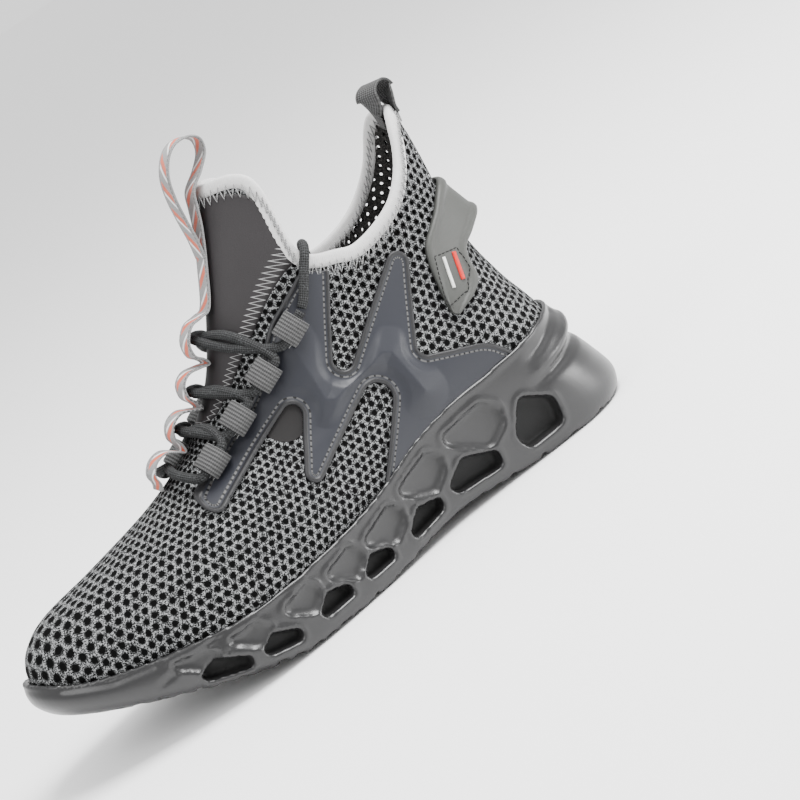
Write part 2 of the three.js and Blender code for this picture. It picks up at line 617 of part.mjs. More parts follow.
// Lace loops of webbing along the eyestay, from the top down: at is a share of the upper's length from the
// heel, rise a share of the instep's height
const loopRows = [
  { at: 0.388, rise: 1.037 }, { at: 0.457, rise: 0.936 }, { at: 0.524, rise: 0.844 }, { at: 0.594, rise: 0.752 },
];
const loopPlaces = loopRows.map((row) => {
  const height = row.rise * instepHeight;
  return { turn: turnAt(fromHeel(row.at), height), height };
});
const loopInner = laceRadius + 1.1;
const loopLift = 2 * clearance + overlayThickness + webbingThickness + loopInner + 0.7;
const loopPoint = (i, side) => atHeight(side * loopPlaces[i].turn, loopPlaces[i].height, loopLift);

function loopFrame(i, side) {
  const above = loopPoint(Math.max(i - 1, 0), side);
  const below = loopPoint(Math.min(i + 1, loopRows.length - 1), side);
  const down = below.sub(above).normalize();
  const { turn, height } = loopPlaces[i];
  const out = formNormal(side * turn, levelAt(side * turn, height));
  out.addScaledVector(down, -out.dot(down)).normalize();
  return { centre: loopPoint(i, side), down, out, across: new THREE.Vector3().crossVectors(out, down) };
}

function loopGeometry(i, side) {
  const { centre, down, out, across } = loopFrame(i, side);
  const sides = 8;
  const outline = (radiusAcross, radiusOut) => Array.from({ length: sides }, (_, k) => {
    const angle = (2 * Math.PI * (k + 0.5)) / sides;
    return new THREE.Vector2(radiusAcross * Math.cos(angle), radiusOut * Math.sin(angle));
  });
  const flat = 1.55 * loopInner;
  const shape = new THREE.Shape(outline(flat + webbingThickness, loopInner + webbingThickness));
  shape.holes.push(new THREE.Path(outline(flat, loopInner)));
  const geometry = new THREE.ExtrudeGeometry(shape, { depth: webbingWidth, bevelEnabled: false });
  geometry.translate(0, 0, -webbingWidth / 2);
  geometry.applyMatrix4(new THREE.Matrix4().makeBasis(across, out, down));
  return geometry.translate(centre.x, centre.y, centre.z);
}

// Lace: each half zigzags down over the tongue, through the loops of both sides, to a bar at the bottom.
// Rise is the height of each crossing on the ridge, as a share of the instep's height.
const crossings = [{ rise: 1.156 }, { rise: 0.98 }, { rise: 0.876 }, { rise: 0.801 }];
const laceSides = 8;
const overTongue = laceRadius + 1.9;

function lacePath(start) {
  const points = [];
  let side = start;
  for (let i = 0; i < loopRows.length; i += 1) {
    const { centre, down } = loopFrame(i, side);
    const stub = webbingWidth / 2 + 0.7 * laceDiameter;
    points.push(centre.clone().addScaledVector(down, -stub), centre, centre.clone().addScaledVector(down, stub));
    const last = i === loopRows.length - 1;
    const over = (start > 0) === (i % 2 === 0) && !last;
    const lift = overTongue + (over ? 0.75 * laceDiameter : 0);
    const from = loopPlaces[i];
    const height = crossings[i].rise * instepHeight;
    const near = lerp(from.turn, Math.PI, 0.5);
    points.push(atHeight(side * near, lerp(from.height, height, 0.42), overTongue + 1.2));
    points.push(atHeight(side * Math.PI * 0.999, height, lift));
    if (!last) {
      const next = loopPlaces[i + 1];
      const far = lerp(next.turn, Math.PI, 0.45);
      points.push(atHeight(-side * far, lerp(next.height, height, 0.9), overTongue + 1.2));
    }
    side = -side;
  }
  return points;
}

function tubeAlong(points, radius, steps, sides = laceSides) {
  const section = new THREE.Shape(Array.from({ length: sides }, (_, k) => {
    const angle = (2 * Math.PI * k) / sides;
    return new THREE.Vector2(radius * Math.cos(angle), radius * Math.sin(angle));
  }));
  const path = new THREE.CatmullRomCurve3(points);
  return new THREE.ExtrudeGeometry(section, { steps, bevelEnabled: false, extrudePath: path });
}

const laceSteps = 34;
const lace = joined([1, -1].map((start) => solid(tubeAlong(lacePath(start), laceRadius, laceSteps))));

// Free end of the lace: from the top loop over the collar's lowest front corner and down inside the shoe
const laceEndPoints = [
  [-69.5, -31.0, 118.6], [-66.5, -31.2, 121.5], [-63.0, -31.2, 126.0], [-59.0, -31.0, 131.5], [-55.0, -30.6, 136.5],
  [-52.5, -28.6, 139.4], [-51.5, -25.0, 140.2], [-51.0, -21.2, 138.2], [-50.8, -19.0, 134.0], [-50.6, -18.0, 129.0],
  [-50.4, -17.2, 123.0], [-50.2, -16.6, 117.0], [-50.0, -16.2, 111.0], [-49.8, -16.0, 105.0],
].map(([x, y, z]) => new THREE.Vector3(x, y, z));

// Ribbon: keeper down the middle of the tongue, pinned between the crossings, with its pull loop above.
// A fold arches over each crossing, from the lowest up. From and to are the heights of its pins as shares of
// the instep's height, and crest is how far it stands off, in diameters of the lace that it spans.
const ribbonRest = clearance + ribbonThickness / 2 + 0.2;
const ribbonFolds = [
  { from: 0.767, to: 0.838, crest: 2.25 }, { from: 0.838, to: 0.942, crest: 2.5 },
  { from: 0.942, to: 1.076, crest: 2.6 }, { from: 1.076, to: 1.25, crest: 2.35 },
];

// The sagging arch of one fold, as shares of the way between its pins and of its crest
const foldShape = [
  { rise: 0, out: 0.08 }, { rise: 0.08, out: 0.32 }, { rise: 0.14, out: 0.74 }, { rise: 0.4, out: 1 },
  { rise: 0.72, out: 0.86 }, { rise: 0.9, out: 0.4 },
];

// From the last pin the ribbon lies on the tongue, up to its top
const ribbonFlat = [
  { rise: 0.75, out: 0.14 }, { rise: 0.83, out: 0.16 }, { rise: 0.905, out: 0.24 }, { rise: 0.95, out: 0.46 },
  { rise: 0.99, out: 0.6 },
];

// Pull loop above the tongue, as shares of its height, behind and above the top of the tongue
const pullLoop = [
  { back: 0.16, rise: 0.24 }, { back: 0.44, rise: 0.5 }, { back: 0.5, rise: 0.77 }, { back: 0.32, rise: 0.93 },
  { back: 0.02, rise: 0.955 }, { back: -0.25, rise: 0.8 }, { back: -0.48, rise: 0.48 }, { back: -0.6, rise: 0.07 },
  { back: -0.66, rise: -0.39 }, { back: -0.7, rise: -0.84 }, { back: -0.77, rise: -1.22 },
];

function flatStrip(path, width, thickness, steps) {
  const curve = new THREE.CatmullRomCurve3(path);
  const side = new THREE.Vector3(0, width / 2, 0);
  const rings = Array.from({ length: steps + 1 }, (_, i) => {
    const point = curve.getPointAt(i / steps);
    const tangent = curve.getTangentAt(i / steps);
    const normal = new THREE.Vector3(0, 1, 0).cross(tangent).normalize().multiplyScalar(thickness / 2);
    return [
      point.clone().add(side).add(normal), point.clone().sub(side).add(normal),
      point.clone().sub(side).sub(normal), point.clone().add(side).sub(normal),
    ];
  });
  return loft(rings);
}

const onRidge = (height, out) => atHeight(0.9999 * Math.PI, height, out + ribbonRest);
const foldPoints = ribbonFolds.flatMap((fold) => foldShape.map((row) => (
  onRidge(lerp(fold.from, fold.to, row.rise) * instepHeight, row.out * fold.crest * laceDiameter))));
const ribbonPath = [
  ...foldPoints,
  ...ribbonFlat.map((row) => onRidge(row.rise * tongueHeight, row.out * laceDiameter)),
  ...pullLoop.map((row) => new THREE.Vector3(
    tongueTop.x + row.back * ribbonLoopHeight, 0, tongueTop.z + row.rise * ribbonLoopHeight)),
];

// Pull loop of webbing at the back of the collar, sewn on a little to the outer side: out and rise are shares of
// its height, from the binding's middle
const heelLoopTurn = 0.16;
const heelLoopRows = [
  { out: -0.5, rise: -0.75 }, { out: -0.5, rise: -0.2 }, { out: -0.56, rise: 0.3 }, { out: -0.5, rise: 0.72 },
  { out: -0.2, rise: 0.96 }, { out: 0.2, rise: 0.94 }, { out: 0.4, rise: 0.62 }, { out: 0.38, rise: 0.2 },
  { out: 0.28, rise: -0.15 }, { out: 0.28, rise: -0.42 },
];

function heelLoopGeometry() {
  const level = levelAt(heelLoopTurn, heelCollarHeight);
  const edge = onForm(heelLoopTurn, level, -wall / 2);
  const normal = formNormal(heelLoopTurn, level);
  const path = heelLoopRows.map((row) => new THREE.Vector3(row.out * heelLoopHeight, 0, row.rise * heelLoopHeight));
  return flatStrip(path, heelLoopWidth, webbingThickness, 20)
    .rotateZ(Math.atan2(normal.y, normal.x))
    .translate(edge.x, edge.y, heelCollarHeight);
}

// Heel strap: a moulded band from a pad on each side round the back, which it clears like a handle. Rows from
// the middle of the back to the tip of the pad give its upper and its lower edge: how far each lies in front of
// the back, as a share of the upper's length, its height as a share of the collar's, and its share of the standoff.
const strapRows = [
  { highAt: 0, high: 0.757, highLift: 0.1, lowAt: 0, low: 0.632, lowLift: 1 },
  { highAt: 0.002, high: 0.757, highLift: 0.1, lowAt: 0.002, low: 0.63, lowLift: 0.97 },
  { highAt: 0.007, high: 0.755, highLift: 0.08, lowAt: 0.006, low: 0.622, lowLift: 0.85 },
  { highAt: 0.016, high: 0.748, highLift: 0.05, lowAt: 0.014, low: 0.608, lowLift: 0.62 },
  { highAt: 0.03, high: 0.73, highLift: 0.02, lowAt: 0.024, low: 0.592, lowLift: 0.38 },
  { highAt: 0.048, high: 0.703, highLift: 0, lowAt: 0.034, low: 0.58, lowLift: 0.18 },
  { highAt: 0.07, high: 0.678, highLift: 0, lowAt: 0.042, low: 0.563, lowLift: 0.06 },
  { highAt: 0.092, high: 0.65, highLift: 0, lowAt: 0.05, low: 0.53, lowLift: 0 },
  { highAt: 0.104, high: 0.605, highLift: 0, lowAt: 0.059, low: 0.493, lowLift: 0 },
  { highAt: 0.114, high: 0.555, highLift: 0, lowAt: 0.085, low: 0.468, lowLift: 0 },
  { highAt: 0.127, high: 0.5, highLift: 0, lowAt: 0.112, low: 0.456, lowLift: 0 },
  { highAt: 0.134, high: 0.465, highLift: 0, lowAt: 0.128, low: 0.449, lowLift: 0 },
];

function strapGeometry() {
  const edge = (at, share, lift, side) => {
    const height = share * heelCollarHeight;
    const turn = turnAt(atHeight(0, height).x - at * upperLength, height);
    return [0, strapThickness].map((out) => (
      atHeight(side * turn, height, clearance + 0.2 + lift * strapStandoff + out)));
  };
  const section = (row, side) => {
    const edges = [0, 0.5, 1].map((u) => (
      edge(lerp(row.lowAt, row.highAt, u), lerp(row.low, row.high, u), lerp(row.lowLift, row.highLift, u), side)));
    return [...edges.map(([inside]) => inside), ...edges.map(([, outside]) => outside).reverse()];
  };
  const outer = strapRows.map((row) => section(row, 1)).reverse();
  const inner = strapRows.slice(1).map((row) => section(row, -1));
  return loft([...outer, ...inner]);
}

// Materials, one for each kind of piece
const paint = (color, roughness) => new THREE.MeshStandardMaterial({ color, roughness, metalness: 0 });
const shoe = new THREE.Group();

function add(name, geometry, color, roughness) {
  const mesh = new THREE.Mesh(geometry, paint(color, roughness));
  mesh.name = name;
  shoe.add(mesh);
}

add('upper', geometryOf(upper), 0x4a4b4e, 0.9);
add('tongue', geometryOf(tongue), 0x56535a, 0.7);
add('sole', geometryOf(sole), 0x3c3d42, 0.55);
add('insole', insoleGeometry(), 0x2e2d30, 0.95);
add('collar_binding', loft(bandFrames.map((frame) => bandSection(frame, bindingCorners)), 'none'), 0xa3a3a5, 0.9);
add('overlay_outer', geometryOf(overlay(-soleBall, 0)), 0x575c68, 0.5);
add('overlay_inner', geometryOf(overlay(0, soleBall)), 0x575c68, 0.5);
for (const [name, side] of [['outer', 1], ['inner', -1]]) {
  loopRows.forEach((row, i) => add(`lace_loop_${name}_${i + 1}`, loopGeometry(i, side), 0x8d8e90, 0.9));
}
add('lace', geometryOf(lace), 0x35393d, 0.85);
add('lace_end', tubeAlong(laceEndPoints, laceRadius, 18), 0x35393d, 0.85);
add('ribbon', flatStrip(ribbonPath, ribbonWidth, ribbonThickness, 60), 0x85888a, 0.8);
add('heel_pull_loop', heelLoopGeometry(), 0x77787a, 0.9);
add('heel_strap', strapGeometry(), 0x7d7f7c, 0.6);

export default shoe;
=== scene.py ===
import math

import bpy
import numpy as np
from mathutils import Matrix, Vector


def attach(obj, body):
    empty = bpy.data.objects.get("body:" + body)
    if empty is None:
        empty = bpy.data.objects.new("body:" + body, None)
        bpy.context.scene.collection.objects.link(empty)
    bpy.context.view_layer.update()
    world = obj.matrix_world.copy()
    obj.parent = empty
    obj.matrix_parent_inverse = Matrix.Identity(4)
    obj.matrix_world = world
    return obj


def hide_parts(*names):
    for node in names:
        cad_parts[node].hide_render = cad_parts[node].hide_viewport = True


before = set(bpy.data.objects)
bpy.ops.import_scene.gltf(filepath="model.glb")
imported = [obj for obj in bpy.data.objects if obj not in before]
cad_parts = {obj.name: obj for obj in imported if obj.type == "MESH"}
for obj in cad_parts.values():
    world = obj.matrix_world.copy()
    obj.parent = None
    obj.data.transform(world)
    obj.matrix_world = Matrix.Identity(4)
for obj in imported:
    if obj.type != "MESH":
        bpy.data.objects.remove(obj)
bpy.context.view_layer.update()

mm = 0.001
bpy.ops.object.select_all(action="DESELECT")

# View: the photograph looks at the outer side of the shoe, which is pitched toe down in it. Here the shoe
# stands on its sole and the camera rolls instead. Floor and daylight studio are plain and pale.
view_target = Vector((-58, -40, 62)) * mm
view_distance = 1200 * mm
view_azimuth, view_elevation, view_roll = math.radians(17), math.radians(13), math.radians(33.5)
pixels_per_metre = 2307

to_camera = Vector((-math.sin(view_azimuth) * math.cos(view_elevation),
                    -math.cos(view_azimuth) * math.cos(view_elevation), math.sin(view_elevation)))
level_right = Vector((math.cos(view_azimuth), -math.sin(view_azimuth), 0))
level_up = to_camera.cross(level_right)
view_right = level_right * math.cos(view_roll) - level_up * math.sin(view_roll)
view_up = level_right * math.sin(view_roll) + level_up * math.cos(view_roll)

bpy.ops.object.camera_add(location=view_target + to_camera * view_distance)
camera = bpy.context.object
camera.rotation_euler = Matrix((view_right, view_up, to_camera)).transposed().to_euler()
camera.data.sensor_width = 36
camera.data.lens = 36 * pixels_per_metre * view_distance / 800
camera.data.clip_start = 0.05
bpy.context.scene.camera = camera

bpy.ops.mesh.primitive_plane_add(size=14, location=(0, 0, -0.0004))
floor = bpy.context.object
floor.name = "floor"
floor_paint = bpy.data.materials.new("studio_floor")
floor_paint.use_nodes = True
floor_paint.node_tree.nodes["Principled BSDF"].inputs["Base Color"].default_value = (0.95, 0.95, 0.95, 1)
floor_paint.node_tree.nodes["Principled BSDF"].inputs["Roughness"].default_value = 0.6
floor.data.materials.append(floor_paint)

studio = bpy.data.worlds.new("studio")
studio.use_nodes = True
studio.node_tree.nodes["Background"].inputs["Color"].default_value = (1, 1, 1, 1)
studio.node_tree.nodes["Background"].inputs["Strength"].default_value = 1.4
bpy.context.scene.world = studio

# The three softboxes: direction in the picture (right, up, towards the camera), size and power
softboxes = [
    ("key", (-0.1, 1.1, 0.3), 0.8, 52),
    ("fill", (-1.0, 0.25, 0.8), 0.8, 9),
    ("edge", (1.0, 0.45, 0.15), 0.5, 22),
]
for name, (right, up, near), size, power in softboxes:
    place = view_target + (view_right * right + view_up * up + to_camera * near) * 1.1
    bpy.ops.object.light_add(type="AREA", location=place)
    lamp = bpy.context.object
    lamp.name = name
    lamp.data.size = size
    lamp.data.energy = power
    lamp.rotation_euler = (place - view_target).to_track_quat("Z", "Y").to_euler()

# Free end of the lace: a braided round cord from the top loop over the collar and down inside the shoe,
# with its clear aglet. Its points repeat the route of the solid.
lace_diameter = 4.4 * mm
lace_end_route = np.array([
    (-69.5, -31.0, 118.6), (-66.5, -31.2, 121.5), (-63.0, -31.2, 126.0), (-59.0, -31.0, 131.5),
    (-55.0, -30.6, 136.5), (-52.5, -28.6, 139.4), (-51.5, -25.0, 140.2), (-51.0, -21.2, 138.2),
    (-50.8, -19.0, 134.0), (-50.6, -18.0, 129.0), (-50.4, -17.2, 123.0), (-50.2, -16.6, 117.0),
    (-50.0, -16.2, 111.0), (-49.8, -16.0, 105.0),
]) * mm


def run_along(path):
    """Length along a path at each of its points"""
    return np.concatenate([[0], np.cumsum(np.linalg.norm(np.diff(path, axis=0), axis=1))])


def smooth_path(points, spacing):
    """Points of a smooth curve through the given ones, evenly apart"""
    before = np.vstack([2 * points[0] - points[1], points[:-1]])
    after = np.vstack([points[1:], 2 * points[-1] - points[-2]])
    fine = []
    for i in range(len(points) - 1):
        p, q, r, s = before[i], points[i], points[i + 1], after[i + 1]
        for u in np.linspace(0, 1, 24, endpoint=False):
            fine.append(q + 0.5 * u * (r - p + u * (2 * p - 5 * q + 4 * r - s + u * (3 * (q - r) + s - p))))
    fine.append(points[-1])
    fine = np.array(fine)
    reach = run_along(fine)
    even = np.linspace(0, reach[-1], max(2, round(reach[-1] / spacing) + 1))
    return np.stack([np.interp(even, reach, fine[:, k]) for k in range(3)], axis=1)


def select_only(*pieces):
    """Selects these pieces alone, the first of them active"""
    bpy.ops.object.select_all(action="DESELECT")
    for piece in pieces:
        piece.select_set(True)
    bpy.context.view_layer.objects.active = pieces[0]


def join(name, pieces):
    """Joins pieces into the first of them"""
    select_only(*pieces)
    bpy.ops.object.join()
    pieces[0].name = name
    return pieces[0]


def skin(name, grid, uv, endless=False, caps=False):
    """Mesh over a grid of points, rows by columns, with a UV map in metres"""
    rows, columns = grid.shape[:2]
    i, j = np.meshgrid(np.arange(rows if endless else rows - 1), np.arange(columns), indexing="ij")
    i_next, j_next = (i + 1) % rows, (j + 1) % columns
    here, above = i * columns, i_next * columns
    quads = np.stack([here + j, here + j_next, above + j_next, above + j], -1)
    faces = quads.reshape(-1, 4).tolist()
    corners = np.stack([uv[i, j], uv[i, j + 1], uv[i + 1, j + 1], uv[i + 1, j]], 2).reshape(-1, 2)
    if caps:
        faces += [list(range(columns))[::-1], list(range((rows - 1) * columns, rows * columns))]
        corners = np.vstack([corners, uv[0, :columns][::-1], uv[-1, :columns]])
    mesh = bpy.data.meshes.new(name)
    mesh.from_pydata(grid.reshape(-1, 3).tolist(), [], faces)
    mesh.uv_layers.new(name="UVMap").data.foreach_set("uv", corners.astype(np.float32).ravel())
    piece = bpy.data.objects.new(name, mesh)
    bpy.context.collection.objects.link(piece)
    select_only(piece)
    bpy.ops.object.mode_set(mode="EDIT")
    bpy.ops.mesh.select_all(action="SELECT")
    bpy.ops.mesh.normals_make_consistent(inside=False)
    bpy.ops.object.mode_set(mode="OBJECT")
    bpy.ops.object.shade_smooth()
    return piece


def unit(v):
    return v / np.maximum(np.linalg.norm(v, axis=-1, keepdims=True), 1e-12)


def sweep(name, path, section, across=None, endless=False):
    """Bar along a path: section points are (across, out) in metres; across may give each step's direction"""
    if endless:
        tangent = unit(np.roll(path, -1, axis=0) - np.roll(path, 1, axis=0))
    else:
        tangent = unit(np.gradient(path, axis=0))
    if across is None:
        side = [unit(np.cross(tangent[0], (0.3, 1, 0.2)))]
        for t in tangent[1:]:
            side.append(unit(side[-1] - t * np.dot(side[-1], t)))
        across = np.array(side)
    across = unit(across - tangent * np.sum(across * tangent, axis=1, keepdims=True))
    out = np.cross(across, tangent)
    grid = path[:, None] + section[None, :, 0:1] * across[:, None] + section[None, :, 1:2] * out[:, None]
    run = run_along(path)
    if endless:
        run = np.append(run, run[-1] + np.linalg.norm(path[0] - path[-1]))
    girth = run_along(np.vstack([section, section[:1]]))
    uv = np.stack(np.meshgrid(run, girth, indexing="ij"), -1)
    return skin(name, grid, uv, endless=endless, caps=not endless)


def round_section(radius, sides):
    angle = np.linspace(0, 2 * math.pi, sides, endpoint=False)
    return radius * np.stack([np.cos(angle), np.sin(angle)], 1)


class Value:
    """A shader socket on which sums are written as plain expressions"""

    def __init__(self, tree, socket=None):
        self.tree = tree
        self.socket = socket

    def node(self, kind, settings=None, sockets=None, output=0):
        made = self.tree.nodes.new(kind)
        for key, value in (settings or {}).items():
            setattr(made, key, value)
        for key, value in (sockets or {}).items():
            if isinstance(value, Value):
                self.tree.links.new(value.socket, made.inputs[key])
            else:
                made.inputs[key].default_value = value
        return Value(self.tree, made.outputs[output])

    def math(self, operation, *others):
        values = {i: other for i, other in enumerate([self, *others])}
        return self.node("ShaderNodeMath", {"operation": operation}, values)

    def __add__(self, other):
        return self.math("ADD", other)

    def __sub__(self, other):
        return self.math("SUBTRACT", other)

    def __mul__(self, other):
        return self.math("MULTIPLY", other)

    def __truediv__(self, other):
        return self.math("DIVIDE", other)

    def __rsub__(self, other):
        return self.node("ShaderNodeMath", {"operation": "SUBTRACT"}, {0: other, 1: self})

    __radd__ = __add__
    __rmul__ = __mul__

    def part(self, name):
        return self.node("ShaderNodeSeparateXYZ", {}, {0: self}, {"x": 0, "y": 1, "z": 2}[name])

    def step(self, low, high):
        """Soft step from 0 at low to 1 at high"""
        return self.node("ShaderNodeMapRange", {"interpolation_type": "SMOOTHSTEP"},
                         {"Value": self, "From Min": low, "From Max": high})

    def wave(self, length):
        """Sine of a length, from -1 to 1, that repeats after the given one"""
        return (self * (2 * math.pi / length)).math("SINE")

    def noise(self, scale, detail=3):
        return self.node("ShaderNodeTexNoise", {}, {"Vector": self, "Scale": scale, "Detail": detail})

    def blend(self, first, second):
        """Colour between two, by this mask"""
        return self.node("ShaderNodeMix", {"data_type": "RGBA"}, {0: self, 6: first, 7: second}, 2)


def finish(name):
    """A new material, with its place on the object and its UV map"""
    material = bpy.data.materials.new(name)
    material.use_nodes = True
    start = Value(material.node_tree)
    place = start.node("ShaderNodeTexCoord", output=3)
    uv = start.node("ShaderNodeUVMap", {"uv_map": "UVMap"})
    return material, place, uv


def surface(material, color, roughness, relief, depth, sheen=0.0, coat=0.0, alpha=None, gloss=0.3):
    """Fills the shader: colour and roughness may vary, relief is a height from 0 to 1 of the given depth"""
    tree = material.node_tree
    shader = tree.nodes["Principled BSDF"]
    for key, value in (("Base Color", color), ("Roughness", roughness), ("Alpha", alpha)):
        if isinstance(value, Value):
            tree.links.new(value.socket, shader.inputs[key])
        elif value is not None:
            shader.inputs[key].default_value = value
    shader.inputs["Specular IOR Level"].default_value = gloss
    shader.inputs["Sheen Weight"].default_value = sheen
    shader.inputs["Coat Weight"].default_value = coat
    shader.inputs["Coat Roughness"].default_value = 0.35
    bump = relief.node("ShaderNodeBump", {}, {"Strength": 1.0, "Distance": depth, "Height": relief})
    tree.links.new(bump.socket, shader.inputs["Normal"])


def grey(level, tint=(1, 1, 1)):
    return (*(level * t for t in tint), 1)


def dress(piece, material, slot, *nodes):
    """Material, body and the solids that a piece stands for; the slot argument is not used"""
    piece.data.materials.clear()
    piece.data.materials.append(material)
    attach(piece, "root")
    if nodes:
        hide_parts(*nodes)


lace_braid, place, uv = finish("lace_braid")
turns = uv.part("y") * (2 * math.pi * 7 / (math.pi * lace_diameter))
climb = uv.part("x") * (2 * math.pi / (2.1 * mm))
strand = ((climb + turns).math("SINE") * (climb - turns).math("SINE")).step(-0.5, 0.5)
fleck = place.noise(1500, 2).step(0.6, 0.68)
light_yarn = (strand * 0.3 + fleck * 0.6).math("MINIMUM", 1.0)
lace_color = light_yarn.blend(grey(0.002), grey(0.075, (0.95, 1, 1.03)))
surface(lace_braid, lace_color, 0.75, strand, 0.25 * mm)

lace_step = 1.2 * mm
lace_end_path = smooth_path(lace_end_route, lace_step)
lace_end = sweep("lace_end_cord", lace_end_path, round_section(lace_diameter / 2, 16))
dress(lace_end, lace_braid, "lace_cord", "lace_end")

aglet_length = 13 * mm
aglet_tail = lace_end_path[-int(aglet_length / lace_step):]
aglet_path = aglet_tail + (aglet_tail[-1] - aglet_tail[-2]) * 0.4
aglet = sweep("lace_aglet", aglet_path, round_section(lace_diameter * 0.53, 16))
aglet_film, place, uv = finish("aglet_film")
surface(aglet_film, grey(0.05), 0.25, uv.part("x").wave(1.4 * mm), 0.05 * mm, coat=0.4)
dress(aglet, aglet_film, "lace_cord")

# Knitted upper: one open, springy knit drawn over the last, black with light heather yarn and a dark
# lining. Its form is the last's: closed rings from the sole up to the collar, each with its widths and
# rounded ends.
upper_length = 287 * mm
heel_back = 34 * mm
heel_width, waist_width, ball_width, toe_width = 67 * mm, 73 * mm, 101 * mm, 89 * mm
toe_height, instep_height = 71 * mm, 109 * mm
heel_collar_height, side_collar_height, tongue_height = 165 * mm, 127 * mm, 184 * mm
toe_swing = 7 * mm
wall, clearance = 2.4 * mm, 0.3 * mm
bed_heel, bed_ball = 29.5 * mm, 17.5 * mm
bed_drop = bed_heel - bed_ball

width_names = ("heel", "waist", "ball", "toe")
ring_columns = ("front", "front_z", "back", "back_z", "dip", *width_names, "back_cap", "front_cap")
ring_rows = [
    (0.977, 0.52 * toe_height, 0.01, bed_heel, 1.375, 0.84, 0.85, 0.9, 0.93, 0.12, 0.29),
    (0.993, 0.6 * toe_height, 0.001, 0.22 * heel_collar_height, 1.21, 0.94, 0.95, 0.99, 1, 0.12, 0.29),
    (0.998, 0.69 * toe_height, 0, 0.27 * heel_collar_height, 1.08, 1, 1.02, 1.01, 1, 0.12, 0.29),
    (0.992, 0.79 * toe_height, 0.006, 0.32 * heel_collar_height, 0.875, 1.01, 1.04, 0.98, 0.96, 0.13, 0.29),
    (0.972, 0.885 * toe_height, 0.015, 0.37 * heel_collar_height, 0.58, 1, 1.02, 0.92, 0.87, 0.14, 0.3),
    (0.932, 0.965 * toe_height, 0.025, 0.42 * heel_collar_height, 0.29, 0.96, 0.96, 0.8, 0.74, 0.15, 0.31),
    (0.85, 1.014 * toe_height, 0.033, 0.475 * heel_collar_height, 0.08, 0.9, 0.89, 0.68, 0.64, 0.16, 0.34),
    (0.711, 0.735 * instep_height, 0.041, 0.54 * heel_collar_height, 0, 0.84, 0.83, 0.59, 0.55, 0.18, 0.38),
    (0.606, 0.84 * instep_height, 0.045, 0.61 * heel_collar_height, 0, 0.79, 0.78, 0.57, 0.57, 0.21, 0.4),
    (0.523, instep_height, 0.042, 0.7 * heel_collar_height, 0, 0.75, 0.74, 0.55, 0.58, 0.24, 0.42),
    (0.456, 0.735 * tongue_height, 0.035, 0.805 * heel_collar_height, 0, 0.73, 0.74, 0.54, 0.58, 0.27, 0.42),
    (0.397, 0.888 * tongue_height, 0.031, 0.92 * heel_collar_height, 0, 0.7, 0.72, 0.53, 0.57, 0.3, 0.42),
    (0.345, 1.04 * tongue_height, 0.035, 1.05 * heel_collar_height, 0, 0.68, 0.71, 0.52, 0.56, 0.32, 0.42),
]
form_rings = {name: np.array([row[i] for row in ring_rows], float)
              for i, name in enumerate(ring_columns)}
upper_widths = (heel_width, waist_width, ball_width, toe_width)
stations = [0.14, 0.38, 0.68, 0.88]
inner_share = [1, 0.9, 0.98, 0.95]
sag_stations, sag_shape = [0, 0.15, 0.4, 0.65, 0.85, 1], [0, 0.1, 0.62, 1, 0.68, 0]


def lerp(a, b, u):
    return a + (b - a) * u


def smooth(u):
    u = np.clip(u, 0, 1)
    return u * u * (3 - 2 * u)


def curve_at(xs, ys, x):
    """Smooth curve through knots, level beyond both ends"""
    last = len(xs) - 1
    x = np.clip(x, xs[0], xs[-1])
    slopes = [(ys[min(j + 1, last)] - ys[max(j - 1, 0)]) / (xs[min(j + 1, last)] - xs[max(j - 1, 0)])
              for j in range(last + 1)]
    total = 0 * x + ys[0] * 1.0
    for i in range(last):
        h = xs[i + 1] - xs[i]
        u = (x - xs[i]) / h
        rest = 1 - u
        piece = (ys[i] * (1 + 2 * u) * rest * rest + slopes[i] * h * u * rest * rest
                 + ys[i + 1] * u * u * (3 - 2 * u) - slopes[i + 1] * h * u * u * rest)
        total = np.where((x >= xs[i]) & (x <= xs[i + 1]), piece, total)
    return total


def between_rows(values, level):
    """Value of a column of a table of rings between two of its rows"""
    last = len(values) - 1
    i = np.clip(np.floor(level), 0, last - 1).astype(int)
    u = level - i
    p, q, r, s = (values[np.clip(i + k, 0, last)] for k in (-1, 0, 1, 2))
    return q + 0.5 * u * (r - p + u * (2 * p - 5 * q + 4 * r - s + u * (3 * (q - r) + s - p)))


def along(turn):
    return (1 - np.cos(turn)) / 2


def from_heel(share):
    return heel_back - share * upper_length


def share_at(x):
    return (heel_back - x) / upper_length


def rounded(width, share, back_cap, front_cap):
    def ease(u):
        return np.sqrt(np.clip(1 - (1 - np.minimum(u, 1)) ** 2, 0, 1))
    return width * ease(share / back_cap) * ease((1 - share) / front_cap)


def half_width(ring, sizes, parts, share, grow=0.0):
    """Half width at a share of a ring's length, from its sizes at the stations and the part of each used"""
    widths = [size / 2 * ring[name] * part for name, size, part in zip(width_names, sizes, parts)]
    return rounded(curve_at(stations, widths, share) + grow, share, ring["back_cap"], ring["front_cap"])


def swing(x):
    return toe_swing * smooth((share_at(x) - 0.4) / 0.61)


def form_point(turn, level):
    """Point of the form: turn goes from 0 at the back over the outer side to pi at the front"""
    turn, level = np.broadcast_arrays(np.asarray(turn, float), np.asarray(level, float))
    ring = {name: between_rows(values, level) for name, values in form_rings.items()}
    share = along(turn)
    outer = np.sin(turn) >= 0
    x = from_heel(lerp(ring["back"], ring["front"], share))
    sag = ring["dip"] * bed_drop * curve_at(sag_stations, sag_shape, share)
    z = lerp(ring["back_z"], ring["front_z"], share) - sag
    half = half_width(ring, upper_widths, [np.where(outer, 1, part) for part in inner_share], share)
    return np.stack([x, swing(x) + np.where(outer, -half, half), z], -1)


